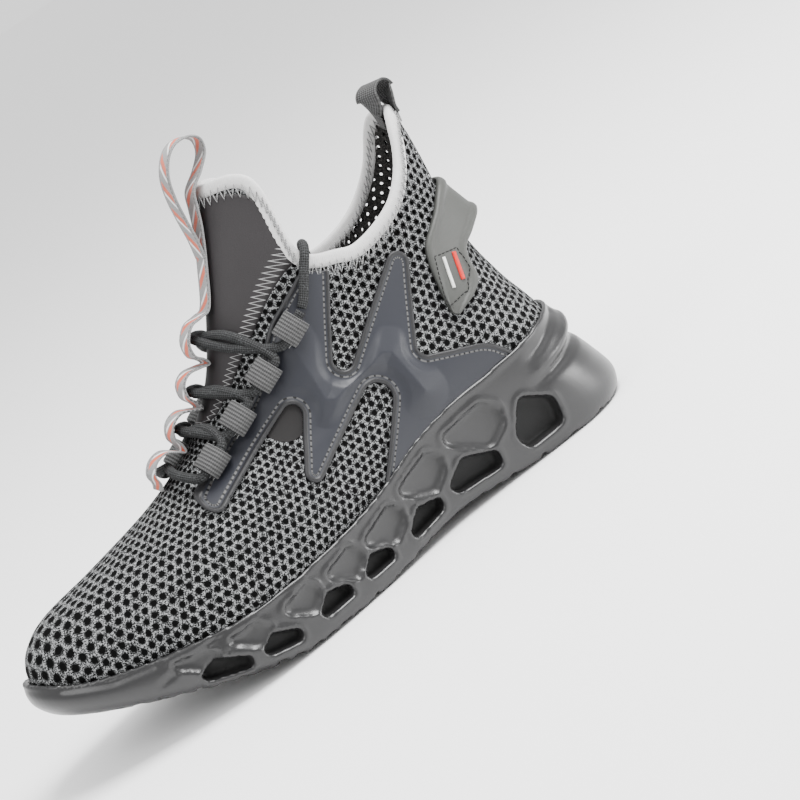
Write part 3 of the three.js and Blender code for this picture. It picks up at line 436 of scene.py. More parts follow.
def form_normal(turn, level):
    small = 0.02
    turn, level = np.asarray(turn), np.asarray(level)
    up = form_point(turn, level + small) - form_point(turn, np.maximum(level - small, 0))
    turned = form_point(turn + small, level) - form_point(turn - small, level)
    return unit(np.cross(up, turned))


def on_form(turn, level, out=0.0):
    return form_point(turn, level) + form_normal(turn, level) * np.asarray(out)[..., None]


def level_at(turn, height):
    turn, height = np.broadcast_arrays(np.asarray(turn, float), np.asarray(height, float))
    low, high = np.zeros_like(turn), np.full_like(turn, len(ring_rows) - 1.0)
    for _ in range(24):
        middle = (low + high) / 2
        under = form_point(turn, middle)[..., 2] < height
        low, high = np.where(under, middle, low), np.where(under, high, middle)
    return low


def at_height(turn, height, out=0.0):
    return on_form(turn, level_at(turn, height), out)


def turn_at(x, height):
    """Turn of the outer side at x in the side view, at a height"""
    x, height = np.broadcast_arrays(np.asarray(x, float), np.asarray(height, float))
    low, high = np.zeros_like(x), np.full_like(x, math.pi)
    for _ in range(22):
        middle = (low + high) / 2
        behind = form_point(middle, level_at(middle, height))[..., 0] > x
        low, high = np.where(behind, middle, low), np.where(behind, high, middle)
    return low


collar_rows = np.array([
    (0, 1), (0.05, 0.97), (0.1, 0.8), (0.15, 0.52), (0.2, 0.32), (0.26, 0.16), (0.34, 0.05), (0.44, 0),
    (0.53, 0.06), (0.61, 0.12), (0.665, 0.2), (0.705, 0.34), (0.74, 0.55), (0.775, 0.75), (0.82, 0.88),
    (0.88, 0.955), (0.94, 0.99), (1, 1),
])


def collar_height(share):
    rise = curve_at(collar_rows[:, 0], collar_rows[:, 1], share)
    peak = np.where(share < 0.44, heel_collar_height, tongue_height)
    return side_collar_height + rise * (peak - side_collar_height)


def vertex_array(piece):
    flat = np.empty(len(piece.data.vertices) * 3)
    piece.data.vertices.foreach_get("co", flat)
    return flat.reshape(-1, 3)


upper_columns, upper_rows = 240, 90
binding_width, binding_thickness = 6.5 * mm, 4 * mm
upper_turns = np.linspace(0, 2 * math.pi, upper_columns, endpoint=False)
knit_top = level_at(upper_turns, collar_height(along(upper_turns)) - binding_width * 0.5)


def knit_grid(rows, out):
    level = np.linspace(0, 1, rows)[:, None] * knit_top[None]
    return on_form(np.broadcast_to(upper_turns, level.shape), level, np.full(level.shape, out))


outside, inside = knit_grid(upper_rows, 0.0), knit_grid(upper_rows, -wall)[::-1]
upper = skin("knit_upper", np.concatenate([outside, inside]),
             np.zeros((2 * upper_rows + 1, upper_columns + 1, 2)), endless=True)

# The knit is laid flat like a cut pattern, opened at the back of the heel, so that its stitches stay even;
# the wall inside repeats the map of the face outside
outside_faces = (upper_rows - 1) * upper_columns
upper.data.polygons.foreach_set("select", np.arange(len(upper.data.polygons)) < outside_faces)
for edge in upper.data.edges:
    low, high = sorted(edge.vertices)
    edge.use_seam = low % upper_columns == 0 and high - low == upper_columns
bpy.context.tool_settings.mesh_select_mode = (False, False, True)
bpy.ops.object.mode_set(mode="EDIT")
bpy.ops.uv.unwrap(method="ANGLE_BASED", margin=0)
bpy.ops.object.mode_set(mode="OBJECT")
layer = upper.data.uv_layers["UVMap"].data
flat = np.empty(len(layer) * 2, np.float32)
layer.foreach_get("uv", flat)
flat = flat.reshape(-1, 4, 2)
loop_vertices = np.empty(len(layer), int)
upper.data.loops.foreach_get("vertex_index", loop_vertices)
loop_vertices = loop_vertices.reshape(-1, 4)
laid, laid_vertices = flat[:outside_faces], loop_vertices[:outside_faces]
solid = vertex_array(upper)[laid_vertices]
laid = laid * np.median(np.linalg.norm(solid[:, 0] - solid[:, 2], axis=1)
                        / np.linalg.norm(laid[:, 0] - laid[:, 2], axis=1))
seat = {}
for face, corners in enumerate(laid_vertices):
    wraps = corners.max() % upper_columns == upper_columns - 1 and corners.min() % upper_columns == 0
    for corner, vertex in enumerate(corners):
        row_index, column = divmod(int(vertex), upper_columns)
        seat[row_index, column + (upper_columns if wraps and column == 0 else 0)] = laid[face, corner]
for face in range(outside_faces, len(loop_vertices)):
    rows_columns = [divmod(int(vertex), upper_columns) for vertex in loop_vertices[face]]
    columns = [column for _, column in rows_columns]
    wraps = 0 in columns and upper_columns - 1 in columns
    for corner, (row_index, column) in enumerate(rows_columns):
        row_index = min(row_index, 2 * upper_rows - 1 - row_index)
        flat[face, corner] = seat[row_index, column + (upper_columns if wraps and column == 0 else 0)]
flat[:outside_faces] = laid
layer.foreach_set("uv", flat.astype(np.float32).ravel())

knit, place, uv = finish("heather_knit")
stitch_width, stitch_height = 4.4 * mm, 3.6 * mm


def stitch_cells(place, uv):
    """Offset rows of stitches: place within its cell across and up, and the distance from its middle"""
    u = uv.part("x") / stitch_width + (place.noise(60, 2) - 0.5) * 0.5
    v = uv.part("y") / stitch_height + (place.noise(75, 2) - 0.5) * 0.5
    row = v.math("FLOOR")
    cell_u = (u + row.math("MODULO", 2.0).math("ABSOLUTE") * 0.5).math("FRACT") - 0.5
    cell_v = v.math("FRACT") - 0.5
    radius = (cell_u * cell_u + cell_v * cell_v * 0.75).math("SQRT") + (place.noise(800, 2) - 0.5) * 0.16
    collar = place.part("z").step(100 * mm, 112 * mm) * place.part("x").step(-62 * mm, -50 * mm)
    return u, v, radius, collar


u, v, radius, collar = stitch_cells(place, uv)
hole = 1 - radius.step(0.22, 0.32)
three_turns = u * 2 * math.pi * 3.0
ply = ((three_turns + v * 11.0).math("SINE") * (three_turns - v * 11.0).math("SINE")).step(-0.4, 0.6)
heather = place.noise(1500, 4).step(0.46, 0.57)
# Heather flecks and plies of the yarn, with painted light: each loop is painted dark at the edge of its hole
# as painted shade, and light further out as a painted highlight
heather_with_painted_loop_highlight = (heather * 0.9 + ply * 0.18) * (1 - hole) * (0.2 + radius.step(0.28, 0.46) * 0.8)

# A round patch of plain film lies behind the fork of the overlay
patch_x, patch_z = place.part("x") + 103.5 * mm, place.part("z") - 84.5 * mm
patch = 1 - (patch_x * patch_x + patch_z * patch_z).math("SQRT").step(9.8 * mm, 10.1 * mm)
yarn_color = heather_with_painted_loop_highlight.math("MINIMUM", 1.0).blend(grey(0.001), grey(0.27, (0.98, 1, 1.01)))
knit_color = patch.blend(yarn_color, grey(0.02, (1.04, 1, 1)))
see_through = (1 - radius.step(0.15, 0.19)) * collar
knit_relief = ((1 - hole) * 0.75 + ply * 0.25 * (1 - hole)) * (1 - patch) + patch
surface(knit, knit_color, 0.85, knit_relief, 1.1 * mm, gloss=0.06, alpha=1 - see_through)
dress(upper, knit, "knit", "upper")

lining, place, uv = finish("collar_lining")
u, v, radius, collar = stitch_cells(place, uv)
lining_grain = place.noise(1500, 3)
lining_color = lining_grain.step(0.35, 0.7).blend(grey(0.012), grey(0.05, (1.05, 1, 0.96)))
surface(lining, lining_color, 0.95, lining_grain, 0.4 * mm, gloss=0.05,
        alpha=1 - (1 - radius.step(0.19, 0.23)) * collar)
upper.data.materials.append(lining)
lining_faces = np.zeros(len(upper.data.polygons), int)
lining_faces[outside_faces:] = 1
upper.data.polygons.foreach_set("material_index", lining_faces)

# Tongue: a smooth stretch panel set into the throat of the knit, up to the binding of the collar. Its edge is
# held by a zigzag seam in light thread.
tongue_rows = np.array([
    (0.0, 0.16), (0.03, 0.32), (0.08, 0.42), (0.36, 0.62), (0.53, 0.76), (0.76, 0.93), (0.91, 1.05),
    (1.16, 1.25),
])
throat_corner_x = -57 * mm
tongue_length, tongue_half = 78 * mm, 25 * mm
throat_foot = np.array([from_heel(0.568), 0, 0.9 * instep_height])
tongue_top = at_height(math.pi, tongue_height)
instep_up = unit((tongue_top - throat_foot) * np.array([1, 0, 1]))


def throat_point(up, side, out):
    """Point of the form, by its distance up the throat and its distance from the middle"""
    up, side = np.broadcast_arrays(np.asarray(up, float), np.asarray(side, float))

    def level_up(turn):
        low, high = np.zeros_like(turn), np.full_like(turn, len(ring_rows) - 1.0)
        for _ in range(22):
            middle = (low + high) / 2
            under = (form_point(turn, middle) - throat_foot) @ instep_up < up
            low, high = np.where(under, middle, low), np.where(under, high, middle)
        return low

    near, far = np.full_like(up, math.pi), np.full_like(up, 0.42 * math.pi)
    for _ in range(20):
        middle = (near + far) / 2
        inside = np.abs(form_point(middle, level_up(middle))[..., 1]) < np.abs(side)
        near, far = np.where(inside, middle, near), np.where(inside, far, middle)
    turn = np.where(side > 0, -near, near)
    return on_form(turn, level_up(near), out)


tongue_steps, tongue_columns = 74, 44
panel_share = np.linspace(-1, 1, tongue_columns)
probe_ups = np.linspace(0.45, 1.35, 28)
probe_half = curve_at(tongue_rows[:, 0], tongue_rows[:, 1], probe_ups) * tongue_half
probe_side = panel_share[None] * probe_half[:, None]
probe = throat_point(np.broadcast_to((probe_ups * tongue_length)[:, None], probe_side.shape), probe_side,
                     np.zeros(probe_side.shape))
probe_share = (heel_back - probe[..., 0] - 0.033 * upper_length) / (0.36 * upper_length)
probe_over = probe[..., 2] - collar_height(np.clip(probe_share, 0, 1)) + 0.75 * binding_width
probe_over = np.maximum(probe_over, probe[..., 0] - throat_corner_x)
crossing = np.maximum(1, np.argmax(probe_over > 0, axis=0))
each = np.arange(tongue_columns)
under, above = probe_over[crossing - 1, each], probe_over[crossing, each]
crossing_share = np.clip(-under / (above - under), 0, 1)
panel_top = probe_ups[crossing - 1] + (probe_ups[1] - probe_ups[0]) * crossing_share
panel_rows = np.linspace(0, 1, tongue_steps)[:, None] ** 1.3 * panel_top[None]
panel_half = curve_at(tongue_rows[:, 0], tongue_rows[:, 1], panel_rows) * tongue_half
panel_side = panel_share[None] * panel_half
panel_up = panel_rows * tongue_length
panel_edge = np.abs(panel_share)[None] + 0 * panel_side
panel_lift = 0.75 * mm * (1 - smooth((panel_edge - 0.9) / 0.1))
front = throat_point(panel_up, panel_side, panel_lift)
back = throat_point(panel_up, panel_side, np.full(panel_side.shape, -0.4 * mm))[:, ::-1]
panel_grid = np.concatenate([front, back], axis=1)
edge_distance = panel_half - np.abs(panel_side)
panel_uv = np.stack([np.minimum(edge_distance, panel_up + 2 * mm), panel_up], -1)
panel_uv = np.concatenate([panel_uv, panel_uv[:, ::-1], panel_uv[:, :1]], axis=1)
tongue = skin("tongue_panel", panel_grid, panel_uv, caps=True)

stretch, place, uv = finish("tongue_stretch")
distance, run = uv.part("x"), uv.part("y")
zigzag = ((run / (2.6 * mm)).math("PINGPONG", 0.5) * 6.0 * mm + 0.5 * mm - distance).math("ABSOLUTE")
thread = 1 - zigzag.step(0.2 * mm, 0.42 * mm)
grain = place.noise(2200, 2)
seam_dip = (1 - distance.step(0.4 * mm, 1.6 * mm)) * 0.8
panel_tone = (grain * 0.5 + place.noise(40, 3) * 0.5).blend(grey(0.01, (1.08, 0.95, 1.02)),
                                                            grey(0.022, (1.08, 0.95, 1.01)))
surface(stretch, thread.blend(panel_tone, grey(0.3)), 0.6,
        thread * 0.6 + grain * 0.1 - seam_dip * 0.4, 0.5 * mm)
dress(tongue, stretch, "tongue_fabric", "tongue")

# Collar binding: a thick band of light ribbed knit, folded over the edge of the collar. It is sewn down
# through its lower edge on both faces.
band_steps, edge_steps = 300, 1440
fine_turns = np.linspace(0, 2 * math.pi, edge_steps, endpoint=False)
fine_levels = level_at(fine_turns, collar_height(along(fine_turns)))
fine_edge = on_form(fine_turns, fine_levels, np.full(edge_steps, -wall / 2))
fine_normals = form_normal(fine_turns, fine_levels)
edge_run = run_along(np.vstack([fine_edge, fine_edge[:1]]))
even_run = np.linspace(0, edge_run[-1], band_steps, endpoint=False)


def even_along(values):
    closed = np.vstack([values, values[:1]])
    return np.stack([np.interp(even_run, edge_run, closed[:, k]) for k in range(3)], axis=1)


band_path, band_normals = even_along(fine_edge), unit(even_along(fine_normals))
band_tangent = unit(np.roll(band_path, -1, axis=0) - np.roll(band_path, 1, axis=0))
band_down = unit(np.cross(band_normals, band_tangent))
band_angle = np.linspace(0, 2 * math.pi, 28, endpoint=False)
band_depth = binding_width / 2 * (1 - np.sign(np.cos(band_angle)) * np.abs(np.cos(band_angle)) ** 0.75)
band_out = binding_thickness / 2 * np.sign(np.sin(band_angle)) * np.abs(np.sin(band_angle)) ** 0.7
pucker = 0.1 * mm * np.sin(even_run / (3.1 * mm) * 2 * math.pi)[:, None]
band_grid = (band_path[:, None] + band_depth[None, :, None] * band_down[:, None]
             + ((band_out[None] * (1 + pucker / binding_thickness * 2))[..., None]) * band_normals[:, None])
band_section = np.stack([band_depth, band_out], 1)
band_girth = run_along(np.vstack([band_section, band_section[:1]]))
band_uv = np.stack(np.meshgrid(np.append(even_run, edge_run[-1]), band_girth, indexing="ij"), -1)
binding = skin("collar_binding_band", band_grid, band_uv, endless=True)

ribbed, place, uv = finish("binding_rib")
rib = uv.part("x").wave(0.8 * mm).step(-0.8, 0.9)
fuzz = place.noise(1400, 3)
ribbing = rib * 0.2 + fuzz * 0.8
surface(ribbed, ribbing.blend(grey(0.42, (1, 0.99, 0.98)), grey(0.62, (1, 0.99, 0.98))), 0.85, ribbing,
        0.16 * mm, sheen=0.2)
dress(binding, ribbed, "binding_knit", "collar_binding")

# Its seam: a zigzag of light thread over the lower edge of the band, outside and inside
seam_thread, place, uv = finish("seam_thread")
twist = uv.part("x").wave(0.7 * mm)
surface(seam_thread, twist.step(-1.0, 1.0).blend(grey(0.12), grey(0.42)), 0.7, twist, 0.1 * mm)
seam_count = 2 * round(edge_run[-1] / (3.4 * mm))
seam_run = np.linspace(0, edge_run[-1], seam_count, endpoint=False)
seam_turn = np.interp(seam_run, edge_run, np.append(fine_turns, 2 * math.pi))
seam_drop = np.where(np.arange(seam_count) % 2 == 0, 0.62, 1.42) * binding_width
seam_level = level_at(seam_turn, collar_height(along(seam_turn)) - seam_drop)
for face, out, step_up in (("outside", binding_thickness / 2 - 0.95 * mm, 0.9 * mm),
                           ("inside", -wall - 0.5 * mm, -0.35 * mm)):
    over_band = np.where(np.arange(seam_count) % 2 == 0, 1.0, 0.0)
    seam_points = on_form(seam_turn, seam_level, out + over_band * step_up)
    middle = (seam_points + np.roll(seam_points, -1, axis=0)) / 2
    seam_path = np.stack([seam_points, middle], 1).reshape(-1, 3)
    seam = sweep(f"binding_seam_{face}", seam_path, round_section(0.28 * mm, 6), endless=True)
    dress(seam, seam_thread, "binding_knit")

# Side overlays: a soft film welded to the knit, with five fingers, a raised rim, a sewn line inside it and
# moulded creases. They are cut from a shell of the form by their outline in the side view.
overlay_thickness = 1.2 * mm
overlay_rows = [
    (0.091, 0.33, 0), (0.146, 0.532, 0.2), (0.251, 0.651, 0.037), (0.125, 1.174, 0.05),
    (0.408, 0.67, 0.041), (0.282, 1.165, 0.046), (0.317, 1.22, 0.028), (0.408, 1.101, 0.275),
    (0.491, 0.908, 0.367), (0.652, 0.725, 0.037), (0.666, 0.606, 0.046), (0.418, 0.853, 0.037),
    (0.551, 0.436, 0.041), (0.249, 0.798, 0.06), (0.439, 0.257, 0),
]


def rounded_outline(rows, steps=10):
    """Outline with rounded corners, from rows of x, z and corner radius"""
    points = []
    count = len(rows)
    for i, (x, z, radius) in enumerate(rows):
        corner = np.array([x, z])
        a = unit(np.array(rows[i - 1][:2]) - corner)
        b = unit(np.array(rows[(i + 1) % count][:2]) - corner)
        half_angle = math.acos(max(-1.0, min(1.0, float(a @ b)))) / 2
        if radius <= 0:
            points.append(corner)
            continue
        centre = corner + unit(a + b) * radius / math.sin(half_angle)
        start = corner + a * radius / math.tan(half_angle) - centre
        end = corner + b * radius / math.tan(half_angle) - centre
        angle = math.atan2(start[0] * end[1] - start[1] * end[0], float(start @ end))
        for k in range(steps + 1):
            c, s = math.cos(angle * k / steps), math.sin(angle * k / steps)
            points.append(centre + np.array([start[0] * c - start[1] * s, start[0] * s + start[1] * c]))
    return np.array(points)


def side_prism(name, outline, low, high):
    """Prism across the shoe over an outline in the side view"""
    count = len(outline)
    vertices = [(x, y, z) for y in (low, high) for x, z in outline]
    faces = [list(range(count)), list(range(count, 2 * count))[::-1]]
    faces += [[k, count + k, count + (k + 1) % count, (k + 1) % count] for k in range(count)]
    mesh = bpy.data.meshes.new(name)
    mesh.from_pydata(vertices, [], faces)
    prism = bpy.data.objects.new(name, mesh)
    bpy.context.collection.objects.link(prism)
    select_only(prism)
    bpy.ops.object.mode_set(mode="EDIT")
    bpy.ops.mesh.select_all(action="SELECT")
    bpy.ops.mesh.quads_convert_to_tris()
    bpy.ops.mesh.normals_make_consistent(inside=False)
    bpy.ops.object.mode_set(mode="OBJECT")
    return prism


def modify(piece, kind, **settings):
    modifier = piece.modifiers.new(kind.lower(), kind)
    for key, value in settings.items():
        setattr(modifier, key, value)
    bpy.context.view_layer.objects.active = piece
    bpy.ops.object.modifier_apply(modifier=modifier.name)


def cut(piece, cutter, operation="DIFFERENCE"):
    modify(piece, "BOOLEAN", object=cutter, operation=operation, solver="EXACT")
    bpy.data.objects.remove(cutter)


def normal_array(piece):
    flat = np.empty(len(piece.data.vertices) * 3, np.float32)
    piece.data.vertex_normals.foreach_get("vector", flat)
    return flat.reshape(-1, 3)


def set_vertices(piece, points):
    piece.data.vertices.foreach_set("co", points.ravel())
    piece.data.update()


def distance_to(outline, points):
    """Distance of points in the side view to a closed outline, and how far along it the nearest place lies"""
    starts, ends = outline, np.roll(outline, -1, axis=0)
    sides = ends - starts
    size = np.linalg.norm(sides, axis=1)
    reach = np.concatenate([[0], np.cumsum(size)[:-1]])
    best, run = np.full(len(points), 1e9), np.zeros(len(points))
    for start, side, length, begin in zip(starts, sides, size, reach):
        if length < 1e-9:
            continue
        u = np.clip((points - start) @ side / length ** 2, 0, 1)
        gap = np.linalg.norm(points - start - u[:, None] * side, axis=1)
        closer = gap < best
        best, run = np.where(closer, gap, best), np.where(closer, begin + u * length, run)
    return best, run


def inside_of(outline, points):
    """Which points of the side view lie inside a closed outline"""
    result = np.zeros(len(points), bool)
    for (x1, z1), (x2, z2) in zip(outline, np.roll(outline, -1, axis=0)):
        if z1 == z2:
            continue
        crosses = (z1 > points[:, 1]) != (z2 > points[:, 1])
        result ^= crosses & (points[:, 0] < (x2 - x1) * (points[:, 1] - z1) / (z2 - z1) + x1)
    return result


def corner_uv(piece, pairs):
    """UV map from two values for each vertex"""
    loops = np.empty(len(piece.data.loops), int)
    piece.data.loops.foreach_get("vertex_index", loops)
    while piece.data.uv_layers:
        piece.data.uv_layers.remove(piece.data.uv_layers[0])
    layer = piece.data.uv_layers.new(name="UVMap")
    layer.data.foreach_set("uv", pairs[loops].astype(np.float32).ravel())


overlay_outline = rounded_outline([(from_heel(at), rise * instep_height, r * instep_height)
                                   for at, rise, r in overlay_rows])

# Moulded crease of the overlay: a line in the side view where two slopes meet
crease_line = np.array([(-82, 117), (-82, 104), (-84.2, 80.5), (-80.9, 78), (-50.9, 82), (-47.5, 79.5),
                        (-46, 58)]) * mm
crease_rise, crease_reach = 2.6 * mm, 12 * mm


def overlay_shell(name):
    turns = np.linspace(0, 2 * math.pi, 260, endpoint=False)
    tops = level_at(turns, collar_height(along(turns)) - binding_width - clearance)
    level = 1 + np.linspace(0, 1, 90)[:, None] * (tops[None] - 1)
    turns = np.broadcast_to(turns, level.shape)
    outer = on_form(turns, level, np.full(level.shape, clearance + overlay_thickness))
    inner = on_form(turns, level, np.full(level.shape, clearance))[::-1]
    grid = np.concatenate([outer, inner])
    return skin(name, grid, np.zeros((grid.shape[0] + 1, grid.shape[1] + 1, 2)), endless=True)


def sewn_dashes(name, base, side, rows, reach, seat_lift, radius):
    """Stitches on a piece: each row has its ends in the side view, in mm, its number of stitches and the
    part of each one's length at which it comes up and goes down"""
    dashes = []
    for start, end, number, comes_up, goes_down in rows:
        for k in range(number):
            ends = []
            for u in ((k + comes_up) / number, (k + goes_down) / number):
                x, z = lerp(start[0], end[0], u) * mm, lerp(start[1], end[1], u) * mm
                above = Vector(at_height(side * turn_at(x, z), z, reach))
                _, seat_point, seat_normal, _ = base.closest_point_on_mesh(above)
                ends.append(np.array(seat_point + seat_normal * seat_lift))
            dash_path = np.array([ends[0], (ends[0] + ends[1]) / 2, ends[1]])
            dashes.append(sweep(name, dash_path, round_section(radius, 6)))
    return join(name, dashes)


# Bar tacks: two rows of light thread beside each loop, where its ends go through a slit in the film
slit_lines = [((-74.8, 111.5), (-83.0, 106.8)), ((-93.2, 102.4), (-102.1, 98.2)),
              ((-113.2, 92.0), (-123.5, 87.3)), ((-133.2, 82.8), (-142.9, 78.9))]
tack_rows = [((x1, z1 + shift), (x2, z2 + shift), 4, 0.08, 0.8)
             for (x1, z1), (x2, z2) in slit_lines for shift in (-0.55, 0.55)]

film, place, uv = finish("overlay_film")
distance, run = uv.part("x"), uv.part("y")
sewn = (1 - (distance - 3.1 * mm).math("ABSOLUTE").step(0.25 * mm, 0.5 * mm))
dash = (run / (2.4 * mm)).math("FRACT").step(0.3, 0.42)
groove = 1 - (distance - 2.4 * mm).math("ABSOLUTE").step(0.3 * mm, 0.9 * mm)
grain = place.noise(1800, 2)
tone = place.noise(22, 2).blend(grey(0.011, (0.9, 0.98, 1.35)), grey(0.019, (0.92, 0.98, 1.3)))
welt = 1 - distance.step(1.9 * mm, 2.3 * mm)
tone = welt.blend(tone, grey(0.013, (1, 1, 1.08)))
surface(film, sewn.blend(tone, dash.blend(grey(0.003), grey(0.07))), 0.4 + grain * 0.08,
        (1 - sewn * 0.4) * 0.8 + sewn * dash * 0.3 - groove * 0.3 + grain * 0.03, 0.5 * mm, coat=0.05)

for side_name, low, high in (("outer", -0.06, 0.0), ("inner", 0.0, 0.06)):
    overlay = overlay_shell(f"side_overlay_{side_name}")
    cut(overlay, side_prism("overlay_outline", overlay_outline, low, high), "INTERSECT")
    modify(overlay, "REMESH", mode="VOXEL", voxel_size=0.62 * mm)
    modify(overlay, "SMOOTH", factor=0.5, iterations=3)
    points, normals = vertex_array(overlay), normal_array(overlay)
    flat = points[:, [0, 2]]
    gap, run = distance_to(overlay_outline, flat)
    outward = (normals[:, 1] < 0) if side_name == "outer" else (normals[:, 1] > 0)
    rim = np.exp(-((gap - 1.15 * mm) / (0.85 * mm)) ** 4) * 0.55 * mm
    crease_gap, _ = distance_to(np.vstack([crease_line, crease_line[::-1]]), flat)
    relief = crease_rise * np.maximum(0, 1 - crease_gap / crease_reach)
    lift = np.where(outward, rim + relief * smooth((gap - 3.5 * mm) / (5 * mm)), 0)
    set_vertices(overlay, points + normals * lift[:, None])
    corner_uv(overlay, np.stack([gap, run], 1))
    overlay.select_set(True)
    bpy.ops.object.shade_smooth()
    dress(overlay, film, "overlay_film", f"overlay_{side_name}")
    side = 1 if side_name == "outer" else -1
    tacks = sewn_dashes(f"slit_tacks_{side_name}", overlay, side, tack_rows, 3 * mm, 0.12 * mm, 0.26 * mm)
    dress(tacks, seam_thread, "overlay_film")

# Cup sole: one piece of dark satin rubber, with a bumper at the toe, a swept heel, two rows of openings along
# each side with raised rims, and a lugged tread with a sunk middle
sole_heel, sole_waist, sole_ball, sole_toe = 76 * mm, 77 * mm, 109 * mm, 101 * mm
sole_widths = (sole_heel, sole_waist, sole_ball, sole_toe)
toe_spring, arch_rise = 32 * mm, 4.5 * mm
hole_depth, pocket_depth, tread_depth, recess_depth = 8 * mm, 1.7 * mm, 2 * mm, 2.6 * mm
groove_pitch, groove_width = 17 * mm, 2.6 * mm
sole_columns = ("rise", "front", "back", *width_names)
sole_rows = [
    (0, 0.972, -0.037, 0.96, 0.93, 0.95, 0.94), (0.14, 0.997, -0.045, 0.99, 0.98, 0.99, 0.99),
    (0.38, 1.012, -0.032, 1, 1, 1, 1), (0.6, 1.015, -0.018, 0.985, 1, 0.985, 0.985),
    (0.8, 1.012, -0.016, 0.97, 1.01, 0.975, 0.97), (1, 1.006, -0.002, 0.945, 1.02, 0.96, 0.945),
]
sole_rings = {name: np.array([row[i] for row in sole_rows], float)
              for i, name in enumerate(sole_columns)}
sole_caps = {"back_cap": 0.13, "front_cap": 0.3}
sole_inner = [1, 0.86, 0.98, 0.97]
profile_rows = np.array([
    (-0.04, 0.04 * toe_spring, 0.315 * heel_collar_height), (0.02, 0, 0.31 * heel_collar_height),
    (0.09, 0, 0.295 * heel_collar_height), (0.17, 0, 0.285 * heel_collar_height),
    (0.24, 0.45 * arch_rise, 0.283 * heel_collar_height), (0.33, arch_rise, 0.262 * heel_collar_height),
    (0.41, 0.55 * arch_rise, 0.222 * heel_collar_height), (0.47, 0, 0.2 * heel_collar_height),
    (0.56, 0, 0.186 * heel_collar_height), (0.64, 0, 0.181 * heel_collar_height),
    (0.72, 0.14 * toe_spring, 0.186 * heel_collar_height),
    (0.8, 0.35 * toe_spring, 0.206 * heel_collar_height),
    (0.88, 0.6 * toe_spring, 0.23 * heel_collar_height),
    (0.95, 0.82 * toe_spring, 0.265 * heel_collar_height), (1.012, toe_spring, 0.32 * heel_collar_height),
])


def tread_height(x):
    return np.maximum(0, curve_at(profile_rows[:, 0], profile_rows[:, 1], share_at(np.asarray(x, float))))


def lip_height(x):
    return curve_at(profile_rows[:, 0], profile_rows[:, 2], share_at(np.asarray(x, float)))


def mirrored_loft(name, grid):
    """Closed body through mirrored rings, its ends closed between their left and right points"""
    body = skin(name, grid, np.zeros((grid.shape[0], grid.shape[1] + 1, 2)))
    columns, rows = grid.shape[1], grid.shape[0]
    mesh = body.data
    vertices = [tuple(v.co) for v in mesh.vertices]
    faces = [list(p.vertices) for p in mesh.polygons]
    for base in (0, (rows - 1) * columns):
        for k in range(columns // 2):
            quad = [base + k, base + k + 1, base + columns - k - 1, base + (columns - k) % columns]
            faces.append([c for n, c in enumerate(quad) if c not in quad[:n]])
    closed = bpy.data.meshes.new(name)
    closed.from_pydata(vertices, [], faces)
    body.data = closed
    bpy.context.view_layer.objects.active = body
    bpy.ops.object.mode_set(mode="EDIT")
    bpy.ops.mesh.select_all(action="SELECT")
    bpy.ops.mesh.remove_doubles(threshold=1e-6)
    bpy.ops.mesh.normals_make_consistent(inside=False)
    bpy.ops.object.mode_set(mode="OBJECT")
    return body


def sole_block(name, grow=0.0, rows=22, columns=220):
    turn = np.linspace(0, 2 * math.pi, columns, endpoint=False)[None]
    level = np.linspace(0, len(sole_rows) - 1, rows)[:, None]
    ring = {key: between_rows(values, level) for key, values in sole_rings.items()}
    share = along(turn)
    outer = np.sin(turn) >= 0
    x = from_heel(lerp(ring["back"], ring["front"], share)) + grow * np.cos(turn)
    parts = [np.where(outer, 1, part) for part in sole_inner]
    side = half_width({**ring, **sole_caps}, sole_widths, parts, share + 0 * level, grow)
    z = lerp(tread_height(x), lip_height(x), ring["rise"])
    if grow < 0:
        z[0] -= hole_depth + 1 * mm
        z[-1] += hole_depth + 1 * mm
    return mirrored_loft(name, np.stack([x, swing(x) + np.where(outer, -side, side), z], -1))


def foot_block(name):
    turns = np.linspace(0, 2 * math.pi, 160, endpoint=False)
    level = np.linspace(0, 6, 25)[:, None] + 0 * turns[None]
    grid = on_form(np.broadcast_to(turns, level.shape), level, np.full(level.shape, clearance))
    grid[0, :, 2] = form_point(turns, 0 * turns)[:, 2] - clearance
    return mirrored_loft(name, grid)


hole_shape = [(-0.08, 0.5), (0.48, 0.1), (0.42, -0.44), (-0.38, -0.46), (-0.5, -0.12)]
pocket_shape = [(0.29, 0.5), (0.5, 0.2), (0.42, -0.2), (0.12, -0.5), (-0.3, -0.08), (-0.5, 0.24)]
holes = [
    (0.15, 0.088, 0.14, 0.63), (0.279, 0.101, 0.15, 0.47), (0.386, 0.075, 0.16, 0.43),
    (0.492, 0.061, 0.24, 0.51), (0.583, 0.067, 0.25, 0.53), (0.687, 0.067, 0.22, 0.53),
    (0.775, 0.078, 0.17, 0.55),
]
pockets = [
    (0.25, 0.12, 0.38, 0.86), (0.362, 0.1, 0.38, 0.86), (0.458, 0.09, 0.36, 0.83), (0.543, 0.077, 0.38, 0.84),
    (0.63, 0.072, 0.42, 0.86), (0.725, 0.072, 0.42, 0.87), (0.81, 0.08, 0.4, 0.84),
]


def opening_outline(shape, row):
    at, wide, low_share, high_share = row
    x, width = from_heel(at), wide * upper_length
    low, high = (float(lerp(tread_height(x), lip_height(x), s)) for s in (low_share, high_share))
    lean = float(tread_height(x - width / 3) - tread_height(x + width / 3)) / (2 * width / 3)
    corners = [(x + a * width, (low + high) / 2 + up * (high - low) - a * width * lean,
                0.16 * min(width, high - low)) for a, up in shape]
    return rounded_outline(corners, 4)


def all_prisms(name, outlines):
    return join(name, [side_prism(name, outline, -90 * mm, 90 * mm) for outline in outlines])


